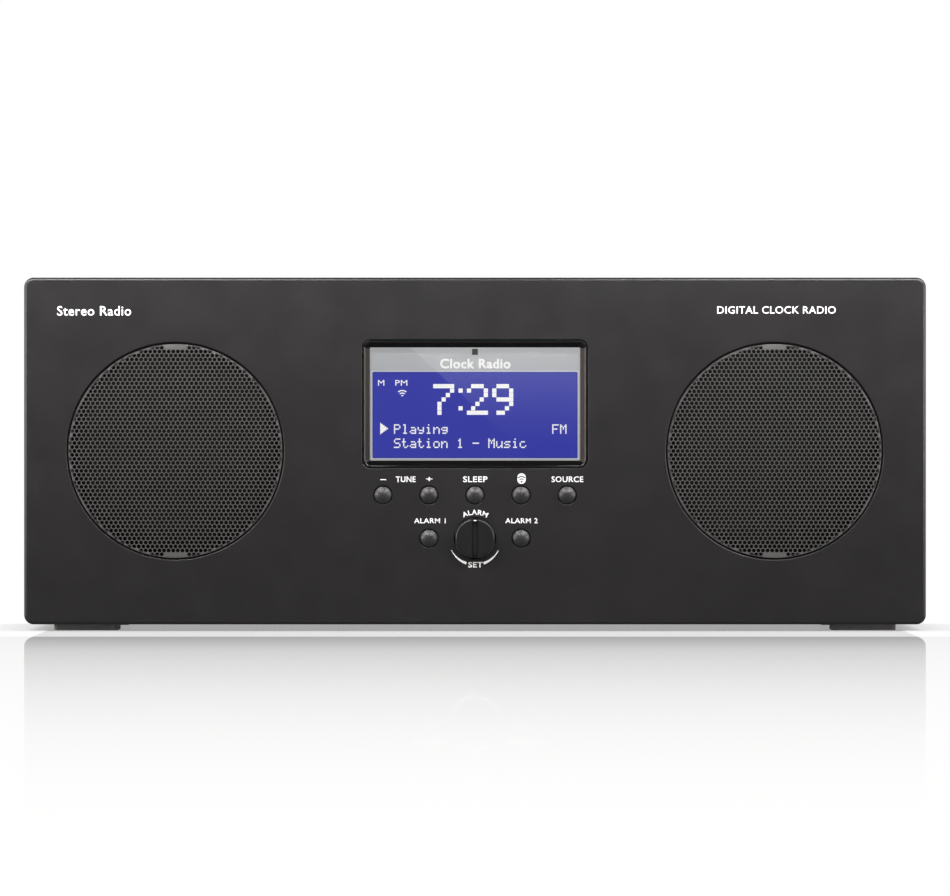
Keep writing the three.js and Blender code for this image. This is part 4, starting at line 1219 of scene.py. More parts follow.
GLYPHS = {
    "P": "####. #...# #...# ####. #.... #.... #....",
    "l": ".##.. ..#.. ..#.. ..#.. ..#.. ..#.. .###.",
    "a": "..... ..... .###. ....# .#### #...# .####",
    "y": "..... ..... #...# #...# .#### ....# .###.",
    "i": "..#.. ..... .##.. ..#.. ..#.. ..#.. .###.",
    "n": "..... ..... #.##. ##..# #...# #...# #...#",
    "g": "..... ..... .#### #...# .#### ....# .###.",
    "S": ".#### #.... #.... .###. ....# ....# ####.",
    "t": ".#... .#... ###.. .#... .#... .#..# ..##.",
    "o": "..... ..... .###. #...# #...# #...# .###.",
    "M": "#...# ##.## #.#.# #.#.# #...# #...# #...#",
    "u": "..... ..... #...# #...# #...# #..## .##.#",
    "s": "..... ..... .#### #.... .###. ....# ####.",
    "c": "..... ..... .###. #.... #.... #...# .###.",
    "F": "##### #.... #.... ####. #.... #.... #....",
    "-": "..... ..... ..... ##### ..... ..... .....",
    " ": "..... ..... ..... ..... ..... ..... .....",
    "1": "..#.. .##.. ..#.. ..#.. ..#.. ..#.. .###.",
    "2": ".###. #...# ....# ...#. ..#.. .#... #####",
    "7": "##### ....# ...#. ..#.. .#... .#... .#...",
    "9": ".###. #...# #...# .#### ....# ...#. .##..",
    ":": ". # . . . # .",
}


@dataclass(frozen=True)
class DotLine:
    """A line of display characters made of square dots."""

    text: str
    left: float
    top: float
    pitch: float
    rise: float = 1.05

    def middles(self) -> np.ndarray:
        """The lit dots' middles: each character starts one dot after the last one's right edge."""
        column, found = 0, []
        for letter in self.text:
            rows = np.array([list(row) for row in GLYPHS[letter].split()]) == "#"
            row, across = np.nonzero(rows)
            found.append(np.stack([column + across + 0.5, -(row + 0.5) * self.rise], -1))
            column += rows.shape[1] + 1
        return np.concatenate(found) * self.pitch + (self.left, self.top)


@dataclass
class DisplayWindow:
    """The bezel with its sloped walls, the lens, the print behind it, and the lit display."""

    width: float = 71.0
    height: float = 40.2
    corner: float = 2.4
    edge_round: float = 0.06
    slope: float = 2.0
    lip: float = 0.15
    pocket: float = 1.1
    lit_width: float = 65.2
    lit_height: float = 27.45
    lit_gap: float = 0.75
    dot: float = 0.416
    dot_fill: float = 0.93
    clock_dot: float = 1.34
    clock_fill: float = 0.985
    text_left: float = -25.75
    upper_row: float = -6.4
    lower_row: float = -10.9
    small_row: float = 6.8
    small_height: float = 1.9
    play_mark: tuple[float, float] = (-30.1, -6.1)
    wave_sign: tuple[float, float] = (-23.1, 3.4)
    raised: tuple[float, float] = (-0.16, -0.04)

    def build(self) -> None:
        """Makes the window's pieces."""
        low, high = extent("display_bezel")
        middle = (low + high) / 2
        self._bezel(front_seat(middle[0], low[1], middle[2]), high[1] - low[1])
        lens = extent("display_lens")
        mask_low, _ = extent("display_mask")
        lcd = extent("lcd_glass")
        lit_low = middle[2] - self.height / 2 + self.slope + self.lip + self.lit_gap
        field_middle = (middle[0], lit_low + self.lit_height / 2)
        half = (self.lit_width / 2, self.lit_height / 2)
        dress(["display_lens"], ClearLens().material())
        dress(["display_mask"], SilverPrint(field_middle, half).material())
        dress(["lcd_glass"], DisplayField(field_middle, half).material())
        dress(["lcd_backlight"], Finishes.DIFFUSER.material())
        dress(["remote_sensor"], Finishes.CLOTH.material())
        log.info("lens at depth %.2f", lens[0][1] - low[1])
        self._header(front_seat(middle[0], mask_low[1], middle[2]))
        self._characters(front_seat(middle[0], lcd[0][1], middle[2]))

    def _bezel(self, seat: Seat, depth: float) -> None:
        """The frame: a rounded outer edge, walls that slope in, and a pocket behind them for the lens."""
        outer = rounded(self.width, self.height, self.corner, 10)
        reach = 2 * (self.slope + self.lip)
        window = rounded(self.width - reach, self.height - reach, 0.3, 10)
        start, soft = self.slope - 0.02, 0.7
        turn = np.radians(np.linspace(0.0, 51.5, 7))
        slope = [*zip(start - soft * np.sin(turn), soft * (1 - np.cos(turn)))]
        slope += [(0.0, self.slope), (0.0, self.slope + self.lip)]
        pocket = [(self.pocket, self.slope + self.lip), (self.pocket, depth)]
        rim = [*edge(self.edge_round, -1, 4), (0.0, depth)]
        skin = Skin()
        skin.plate(seat, (outer, rim), [(window, [*slope, *pocket])])
        bezel = skin.mesh("display_bezel_frame")
        even_shading(bezel)
        join(bezel, "root", [Finishes.GLOSS.material()], ["display_bezel"])

    def _header(self, seat: Seat) -> None:
        """The line of print on the grey band."""
        skin = Skin()
        # painted light: the header's letters glow like the display's characters, in place of the lamp light
        # that the bezel shades off the band
        print_on(skin, seat, [Lettering("Clock Radio", 3.1, (0.1, 12.95), 22.3, 0.022)])
        join(skin.mesh("display_header_print"), "root", [LitCharacters().material()])
        sensor = Skin()
        sensor.plate(
            moved_seat(seat, 0.05, 16.65, 0.03), (rounded(1.75, 1.75, 0.15, 3), [(-0.05, 0.0), (0.0, 0.03)])
        )
        join(sensor.mesh("remote_sensor_window"), "root", [Finishes.DARK_INK.material()])

    def _characters(self, seat: Seat) -> None:
        """The clock, the two lines of text, the play mark and the small signs."""
        lines = (
            DotLine("Playing", self.text_left, self.upper_row, self.dot),
            DotLine("Station 1 - Music", self.text_left, self.lower_row, self.dot),
            DotLine("FM", 24.5, self.upper_row, self.dot),
        )
        clock = DotLine("7:29", -13.3, 6.4, self.clock_dot)
        skin = Skin()
        side = self.dot * self.dot_fill
        skin.boxes(seat, np.concatenate([line.middles() for line in lines]), (side, side), self.raised)
        side = self.clock_dot * self.clock_fill
        skin.boxes(seat, clock.middles(), (side, side), self.raised)
        left, top = self.play_mark
        for k in range(9):
            bar = (6 - 1.35 * abs(k - 4)) * self.dot
            place = np.array([[left + bar / 2, top - k * self.dot]])
            skin.boxes(seat, place, (bar, side * 0.3), self.raised)
        small = (("M", -29.8, 2.0), ("PM", -23.4, 3.8))
        signs = [Lettering(text, self.small_height, (x, self.small_row), wide) for text, x, wide in small]
        print_on(skin, seat, signs, 0.1)
        self._signal(skin, moved_seat(seat, *self.wave_sign, 0.05))
        join(skin.mesh("display_characters"), "root", [LitCharacters().material()])

    def _signal(self, skin: Skin, seat: Seat) -> None:
        """A small sign of three waves that widen upward."""
        for k in range(3):
            arc_strip(skin, seat, (0.0, -1.2), 0.5 + 0.8 * k, (52.0, 128.0), (0.34, 0.34), (0.0, 0.1))


def arc_strip(
    skin: Skin,
    seat: Seat,
    middle: tuple[float, float],
    radius: float,
    angles: tuple[float, float],
    widths: tuple[float, float],
    depths: tuple[float, float],
    finish: int = 0,
) -> None:
    """A flat curved strip: at each angle it spans the radius plus and minus half of an evenly changing width.

    Args:
        skin: The surface that takes it.
        seat: The place that it lies on.
        middle: The arc's middle.
        radius: Its radius.
        angles: Where it starts and ends, in degrees from across, towards up.
        widths: Its width at the start and at the end.
        depths: The depths of its front and back.
        finish: The finish of its faces.
    """
    angle = np.radians(np.linspace(*angles, 25))
    half = np.linspace(*widths, 25) / 2
    way = np.stack([np.cos(angle), np.sin(angle)], -1)
    inner, outer = (way * (radius + s * half)[:, None] + middle for s in (-1, 1))
    corners = [seat.points(p, d) for p, d in zip((inner, outer, outer, inner), np.repeat(depths, 2))]
    loops = np.stack(corners, 1)
    skin.sweep(loops, finish)
    skin.add(loops[0], [(0, 1, 2, 3)], finish)
    skin.add(loops[-1], [(3, 2, 1, 0)], finish)


# ---------------------------------------------------------------- controls


@dataclass
class Controls:
    """The seven domed buttons, the knob with its groove, and the panel's print."""

    button_radius: float = 2.7
    stem_radius: float = 1.5
    flange: float = 1.0
    knob_radius: float = 6.2
    knob_round: float = 0.55
    groove: float = 1.5
    groove_depth: float = 1.4
    bore: float = 3.1
    bore_depth: float = 5.0
    # how far each way the black block of painted shade runs along the groove
    groove_shade_reach: float = 5.2
    panel_thickness: float = 4.0
    clearance: float = 0.3

    def build(self) -> None:
        """Makes the controls and their print."""
        for name in BUTTONS:
            self._button(name)
        self._knob()
        self._legends()

    def _button(self, name: str) -> None:
        """A cap whose top is part of a sphere, with a softened edge, its flange and its stem."""
        low, high = extent(name)
        middle = (low + high) / 2
        wide = (high[0] - low[0]) / 2
        radius, depth = self.button_radius, high[1] - low[1]
        crown, shoulder = 0.95, 0.28
        reach = np.linspace(0, 1, 13) * (radius - shoulder)
        dome = list(zip(reach, crown * (reach / (radius - shoulder)) ** 2))
        turn = np.linspace(0.25, 1, 5) * np.pi / 2
        soft = list(zip(radius - shoulder * (1 - np.sin(turn)), crown + shoulder * (1.0 - np.cos(turn))))
        face = extent("front_panel")[0][1] + self.panel_thickness + self.clearance - low[1]
        rest = [
            (radius, face), (wide, face), (wide, face + self.flange), (self.stem_radius, face + self.flange)
        ]
        skin = Skin()
        profile = [*dome, *soft, *rest, (self.stem_radius, depth), (0.0, depth)]
        skin.turned(front_seat(middle[0], low[1], middle[2]), profile, 72)
        join(skin.mesh(name + "_cap"), name, [Finishes.CONTROL.material()], [name])

    def _knob(self) -> None:
        """A disc with a rounded edge, a groove straight across its face, a white mark at its top, and a black
        block in the groove as painted shade.
        """
        low, high = extent("alarm_knob")
        middle, depth = (low + high) / 2, high[1] - low[1]
        seat = front_seat(middle[0], low[1], middle[2])
        radius = self.knob_radius
        skin = Skin()
        rounded_edge = [(radius + g, d) for g, d in edge(self.knob_round, -1, 7)]
        bore, floor = self.bore, depth - self.bore_depth
        back = [(radius, depth - 0.3), (radius - 0.3, depth), (bore, depth), (bore, floor), (0.0, floor)]
        face = [(0.0, 0.06), (2.0, 0.045), (4.0, 0.02)]
        skin.turned(seat, [*face, *rounded_edge, *back], 144)
        half, deep, soft = self.groove / 2, self.groove_depth, 0.34
        section = np.array(
            [
                (-half - soft - 0.5, -0.5),
                (-half - soft, 0.02),
                (-half - 0.06, 0.1 + soft),
                (-half, 0.45),
                (-half, deep - 0.3),
                (-half + 0.3, deep),
            ]
        )
        section = np.concatenate([section, section[::-1] * (-1, 1)])
        tool = Skin()
        span = np.array([-radius - 1.0, radius + 1.0])
        loops = np.stack(
            [seat.points(np.stack([section[:, 0], np.full(12, z)], -1), section[:, 1]) for z in span]
        )
        tool.sweep(loops)
        tool.add(loops[0], [tuple(range(12))])
        tool.add(loops[1], [tuple(range(11, -1, -1))])
        knob = carved(skin.mesh("alarm_knob_cap"), tool)
        join(knob, "alarm_knob", [Finishes.KNOB.material()], ["alarm_knob"])
        mark = Skin()
        arc_strip(mark, seat, (0.0, 0.0), radius - 0.55, (85.5, 94.5), (0.36, 0.36), (0.3, 1.5))
        # painted shade: a black block set deep in the groove so that it reads dark
        groove_shade_block = [(-half + 0.04, 1.2), (half - 0.04, 1.2), (half - 0.04, deep + 0.1), (-half + 0.04, deep + 0.1)]
        depths = np.array([depth for _, depth in groove_shade_block])
        ends = (-self.groove_shade_reach, self.groove_shade_reach)
        spans = [seat.points(np.array([(u, v) for u, _ in groove_shade_block]), depths) for v in ends]
        mark.sweep(np.stack(spans), 1)
        for loop, order in zip(spans, ((0, 1, 2, 3), (3, 2, 1, 0))):
            mark.add(loop, [order], 1)
        inks = [Finishes.INK.material(), Finishes.DARK_INK.material()]
        join(mark.mesh("alarm_knob_mark_and_groove_shade"), "alarm_knob", inks)

    def _legends(self) -> None:
        """White print on the panel: what each control is for."""
        low, high = extent("front_panel")
        middle = (low + high) / 2
        seat = front_seat(middle[0], low[1], middle[2])
        row, row_size, alarm_row, alarm_size = -8.9, 1.85, -22.05, 1.65
        knob = middle_of("alarm_knob") - middle
        lines = (
            Lettering("Stereo Radio", 3.1, (-132.5, 44.55), 23.5, 0.014, align=Align.LEFT),
            Lettering("DIGITAL CLOCK RADIO", 2.4, (76.8, 44.8), 37.6, 0.010, align=Align.LEFT),
            Lettering("–", row_size, (-29.1, row + 0.1), 1.9, 0.035),
            Lettering("TUNE", row_size, (-21.95, row), 6.3, 0.014),
            Lettering("+", row_size, (-14.5, row + 0.05), 2.0, 0.012),
            Lettering("SLEEP", row_size, (0.1, row), 7.75, 0.014),
            Lettering("SOURCE", row_size, (29.3, row), 10.1, 0.014),
            Lettering("ALARM 1", alarm_size, (-14.3, alarm_row), 10.0, 0.014),
            Lettering("ALARM 2", alarm_size, (14.75, alarm_row), 10.3, 0.014),
            Lettering("ALARM", 1.6, (knob[0], knob[2]), 8.4, 0.022, arc=8.35),
            Lettering("SET", 1.75, (knob[0] + 0.15, knob[2] - 8.3), 4.6, 0.03),
        )
        skin = Skin()
        print_on(skin, seat, lines)
        for start, end in ((206.0, 251.0), (334.0, 289.0)):
            arc_strip(skin, seat, (knob[0], knob[2]), 8.35, (start, end), (0.12, 0.85), (-0.05, -0.01))
        pill = rounded(2.6, 3.35, 1.25, 8)
        place = (14.75, -8.75)
        skin.plate(
            Seat((seat.middle[0] + place[0], seat.middle[1] - 0.05, seat.middle[2] + place[1])),
            (pill, [(0.0, 0.0), (0.0, 0.04)]),
        )
        foot = (place[0], place[1] - 0.95)
        for radius, ends in ((0.14, (0.0, 360.0)), (0.85, (45.0, 135.0)), (1.6, (45.0, 135.0))):
            arc_strip(skin, seat, foot, radius, ends, (0.34, 0.34), (-0.1, -0.08), 1)
        inks = [Finishes.INK.material(), Finishes.DARK_INK.material()]
        join(skin.mesh("panel_legends"), "root", inks)


@dataclass
class TopKeys:
    """The frame let into the cabinet's top and its three keys."""

    wall: float = 7.3
    bite: float = 0.2
    frame_flange: float = 3.0
    corner: float = 2.0
    gap: float = 0.4
    flange: float = 1.0

    def build(self) -> None:
        """Makes the frame, the keys and their print."""
        low, high = extent("top_key_frame")
        middle, depth = (low + high) / 2, high[2] - low[2]
        seat = top_seat(middle[0], middle[1], high[2])
        size = (high - low)[:2] - 2 * self.frame_flange
        outer = rounded(*size, 0.6, 5)
        flange_start = self.wall - self.bite
        rim = [
            *edge(0.3, -1, 4),
            (0.0, flange_start),
            (self.frame_flange, flange_start),
            (self.frame_flange, depth),
        ]
        names = ("volume_down_key", "snooze_power_key", "volume_up_key")
        holes = []
        for name in names:
            key_low, key_high = extent(name)
            key_size = (key_high - key_low)[:2] - 2 * self.flange + 2 * self.gap
            place = (key_low + key_high) / 2 - middle
            outline = moved(rounded(*key_size, self.corner + self.gap, 8), place[0], place[1])
            holes.append((outline, [*edge(0.25, 1, 4), (0.0, depth)]))
        skin = Skin()
        skin.plate(seat, (outer, rim), holes)
        surround = skin.mesh("top_key_surround")
        even_shading(surround)
        join(surround, "root", [Finishes.GLOSS.material()], ["top_key_frame"])
        for name, text in zip(names, ("–", "SNOOZE", "+")):
            self._key(name, text)

    def _key(self, name: str, text: str) -> None:
        """A key whose top is hollowed a little along its length, with its flange underneath."""
        low, high = extent(name)
        middle, depth = (low + high) / 2, high[2] - low[2]
        seat = top_seat(middle[0], middle[1], high[2])
        width, length = (high - low)[:2] - 2 * self.flange
        outline = rounded(width, length, self.corner, 9)
        hollow = [(g, 0.0) for g in (-5.9, -5.0, -4.0, -3.0, -2.0)]
        shares = np.linspace(1, 0, 5) ** 0.7
        stations = [(g, 0.32 * s) for (g, _), s in zip(hollow, shares)] + edge(0.6, -1, 6)
        under = depth - self.flange
        stations += [(0.0, under), (self.flange, under), (self.flange, depth)]
        skin = Skin()
        skin.plate(seat, (outline, stations))
        join(skin.mesh(name + "_cap"), name, [Finishes.CONTROL.material()], [name])
        ink = Skin()
        lower = Seat((middle[0], middle[1], high[2] - 0.31), (1, 0, 0), (0, 1, 0), (0, 0, -1))
        print_on(ink, lower, [Lettering(text, 1.9, (0.0, 0.0), 0.0, 0.05)])
        join(ink.mesh(name + "_print"), name, [Finishes.INK.material()])


# ---------------------------------------------------------------- rear


@dataclass
class RearPanel:
    """The rear panel with its openings, the battery door, the bass port, screws and socket print."""

    thickness: float = 3.0
    port_hole: float = 14.3
    door_gap: float = 0.4
    door_width: float = 92.0
    stem_hole: float = 4.1
    screw_hole: float = 1.8
    sleeve_height: float = 110.0
    sleeve_wall: float = 7.3
    saddle: tuple[float, float] = (6.0, 5.0)
    saddle_reach: float = 172.0
    rail: float = 4.0
    noses: dict[str, float] = field(
        default_factory=lambda: {"dc_jack": 4.5, "aux_jack": 3.7, "headphone_jack": 3.7}
    )
    face: float = 0.0
    centre: float = 0.0
    screw_head: float = 3.2
    screw_height: float = 1.6
    ring_inner: float = 1.85
    ring_outer: float = 2.6
    ring_depth: float = 0.5
    ring_round: float = 0.15
    ring_proud: float = 0.12
    name_height: float = 2.0
    name_row: float = 32.6
    word_height: float = 2.4
    word_row: float = 75.5
    bold: float = 0.04

    def build(self) -> None:
        """Makes the rear pieces."""
        self.face = extent("battery_door")[1][1]
        self.centre = middle_of("front_panel")[2]
        self._panel()
        self._door()
        self._print()
        self._port()
        for number in range(1, 5):
            self._screw(f"rear_screw_{number}")
        dress(["battery_tray"], Finishes.PANEL.material())
        self._sockets()

    def _panel(self) -> None:
        """The panel: a plate with softened openings, the whip's saddle, and the board's two rails."""
        low, high = extent("rear_panel")
        seat = rear_seat(0.0, self.face, self.centre)
        size = (high[0] - low[0], self.sleeve_height - 2 * self.sleeve_wall)
        door_low, door_high = extent("battery_door")
        gap = 2 * self.door_gap
        door = rounded(self.door_width + gap, door_high[2] - door_low[2] + gap, 0.5, 4)
        holes = [moved(door, 0.0, middle_of("battery_door")[2] - self.centre)]
        holes.append(self._round_hole("bass_port", self.port_hole, 96))
        holes.append(moved(circle(self.stem_hole, 48), *self._place("antenna_base")))
        holes += [self._round_hole(f"rear_screw_{number}", self.screw_hole, 24) for number in range(1, 5)]
        holes += [self._round_hole(name, radius, 48) for name, radius in self.noses.items()]
        usb_low, usb_high = extent("usb_port")
        slot = rounded(usb_high[0] - usb_low[0] + 0.6, usb_high[2] - usb_low[2] + 0.6, 0.5, 4)
        holes.append(moved(slot, *self._place("usb_port")))
        skin = Skin()
        rim = [*edge(0.4, -1, 4), (0.0, self.thickness)]
        openings = [(hole, [*edge(0.22, 1, 3), (0.0, self.thickness)]) for hole in holes]
        skin.plate(seat, (rounded(*size, 1.5, 6), rim), openings)
        panel = skin.mesh("rear_panel_plate")
        even_shading(panel)
        join(panel, "root", [Finishes.PANEL.material()], ["rear_panel"])
        self._inner_ribs(low, high)

    def _place(self, name: str) -> tuple[float, float]:
        """Where a piece lies on the rear panel."""
        middle = middle_of(name)
        return -middle[0], middle[2] - self.centre

    def _round_hole(self, name: str, radius: float, count: int) -> Outline:
        """A round opening around a piece's middle."""
        return moved(circle(radius, count), *self._place(name))

    def _inner_ribs(self, low: np.ndarray, high: np.ndarray) -> None:
        """The saddle that the folded whip rests on, and the two rails under the main board."""
        whip_low, _ = extent("antenna_outer_tube")
        pivot_x = middle_of("antenna_base")[0]
        out = high[1] - self.face
        saddle = rear_seat(
            pivot_x - self.saddle_reach, self.face + out, whip_low[2] - 0.3 - self.saddle[1] / 2
        )
        skin = Skin()
        skin.block(saddle, rounded(*self.saddle, 0.8, 5), out + 0.5, 0.5)
        board_low, board_high = extent("main_board")
        for side, x in ((-1, board_low[0]), (1, board_high[0])):
            rail = rear_seat(
                x - side * self.rail, self.face - self.thickness + 0.5, board_low[2] - 0.3 - self.rail / 2
            )
            skin.block(
                rail,
                rounded(self.rail, self.rail, 0.5, 4),
                self.face - self.thickness + 0.5 - low[1],
                0.2,
                0.5,
            )
        join(skin.mesh("rear_panel_ribs"), "root", [Finishes.PANEL.material()])

    def _door(self) -> None:
        """The door: a leaf with softened edges and a finger notch, on a round knuckle with two pins."""
        low, high = extent("battery_door")
        height, knuckle = high[2] - low[2], self.thickness / 2
        skin = Skin()
        leaf = rear_seat(0.0, high[1], (low[2] + high[2]) / 2 + knuckle / 2)
        skin.block(leaf, rounded(self.door_width, height - knuckle, 0.5, 4), self.thickness, 0.35, 0.2)
        tool = Skin()
        notch = Seat((0.0, high[1] + 0.5, high[2]), leaf.across, leaf.up, leaf.inward)
        tool.plate(notch, (rounded(16.0, 6.0, 2.9, 8), [(0.4, 0.0), (0.0, 0.7), (0.0, 2.1), (-0.4, 2.5)]))
        for k in range(4):
            tool.plate(
                moved_seat(notch, 0.0, -4.6 - 1.5 * k, 0.0),
                (rounded(15.0 - 2.4 * k, 0.6, 0.29, 4), [(0.0, 0.0), (0.0, 0.75), (-0.15, 0.85)]),
            )
        join(
            carved(skin.mesh("battery_door_leaf"), tool),
            "battery_door",
            [Finishes.PANEL.material()],
            ["battery_door"],
        )
        pin = Skin()
        half = self.door_width / 2
        ends = [
            (0.0, -high[0]), (0.55, -high[0]), (0.8, 0.25 - high[0]), (0.8, -half), (knuckle - 0.2, -half)
        ]
        line = [*ends, (knuckle, 0.2 - half)]
        profile = [*line, *((radius, -depth) for radius, depth in reversed(line))]
        pin.turned(side_seat(0.0, high[1] - knuckle, low[2] + knuckle), profile, 32)
        join(pin.mesh("battery_door_hinge_pin"), "battery_door", [Finishes.PANEL.material()])

    def _port(self) -> None:
        """A tube with a flange, whose mouth opens in a quarter round."""
        low, high = extent("bass_port")
        middle, length = (low + high) / 2, high[1] - low[1]
        seat = rear_seat(middle[0], high[1], middle[2])
        inner, outer, flange, flare = 12.0, 14.0, 18.0, 3.0
        mouth = [(inner + g, d) for g, d in edge(flare, 1, 10)]
        rim = [(flange - 0.5, 0.0), (flange - 0.15, 0.12), (flange, 0.4), (flange, 1.3), (outer, 1.3)]
        tube = [(outer, length - 0.5), (outer - 0.5, length), (inner + 0.5, length), (inner, length - 0.5)]
        skin = Skin()
        skin.turned(seat, [*reversed(mouth), *rim, *tube], 128)
        join(skin.mesh("bass_port_tube"), "root", [Finishes.PANEL.material()], ["bass_port"])

    def _screw(self, name: str) -> None:
        """A domed screw with a crossed recess."""
        low, high = extent(name)
        middle, length = (low + high) / 2, high[1] - low[1]
        seat = rear_seat(middle[0], high[1], middle[2])
        head, tall = self.screw_head, self.screw_height
        reach = np.linspace(0, 1, 8)
        dome = list(zip(head * 0.92 * reach, tall * 0.55 * reach**2))
        shank = [(1.5, tall), (1.5, length - 2.0), (0.0, length)]
        skin = Skin()
        skin.turned(seat, [*dome, (head, tall * 0.72), (head, tall), *shank], 40)
        cap = skin.mesh(name + "_head")
        above = moved_seat(seat, 0.0, 0.0, 0.3)
        for bar in (rounded(3.6, 0.66, 0.12, 3), rounded(0.66, 3.6, 0.12, 3)):
            slot = Skin()
            slot.plate(above, (bar, [(0.0, 0.0), (0.0, 0.6), (-0.2, 1.3)]))
            carved(cap, slot)
        join(cap, "root", [Finishes.SCREW.material()], [name])

    def _sockets(self) -> None:
        """A bright ring in the mouth of each round socket, over the frame's own bodies."""
        dress(["dc_jack", "aux_jack", "headphone_jack"], Finishes.SOCKET.material())
        dress(["usb_port"], Finishes.STEEL.material())
        inner, outer, deep, soft = self.ring_inner, self.ring_outer, self.ring_depth, self.ring_round
        profile = [(inner, 0.0), (outer - soft, 0.0), (outer, soft), (outer, deep), (inner, deep)]
        for name in ("aux_jack", "headphone_jack"):
            low, high = extent(name)
            x, _, z = (low + high) / 2
            skin = Skin()
            skin.turned(rear_seat(x, high[1] + self.ring_proud, z), profile, 48)
            join(skin.mesh(name + "_ring"), "root", [Finishes.STEEL.material()])

    def _print(self) -> None:
        """The names of the sockets, and the word on the battery door."""
        seat = rear_seat(0.0, self.face, 0.0)
        names = {"dc_jack": "DC IN", "aux_jack": "AUX IN", "headphone_jack": "PHONES", "usb_port": "USB"}
        lines = []
        for node, text in names.items():
            place = (-middle_of(node)[0], self.name_row)
            lines.append(Lettering(text, self.name_height, place, 0.0, self.bold))
        skin = Skin()
        print_on(skin, seat, lines)
        join(skin.mesh("socket_print"), "root", [Finishes.INK.material()])
        mark = Skin()
        door = middle_of("battery_door")
        word = Lettering("BATTERY", self.word_height, (0.0, self.word_row), 0.0, self.bold)
        print_on(mark, rear_seat(door[0], self.face, 0.0), [word])
        join(mark.mesh("battery_door_print"), "battery_door", [Finishes.INK.material()])


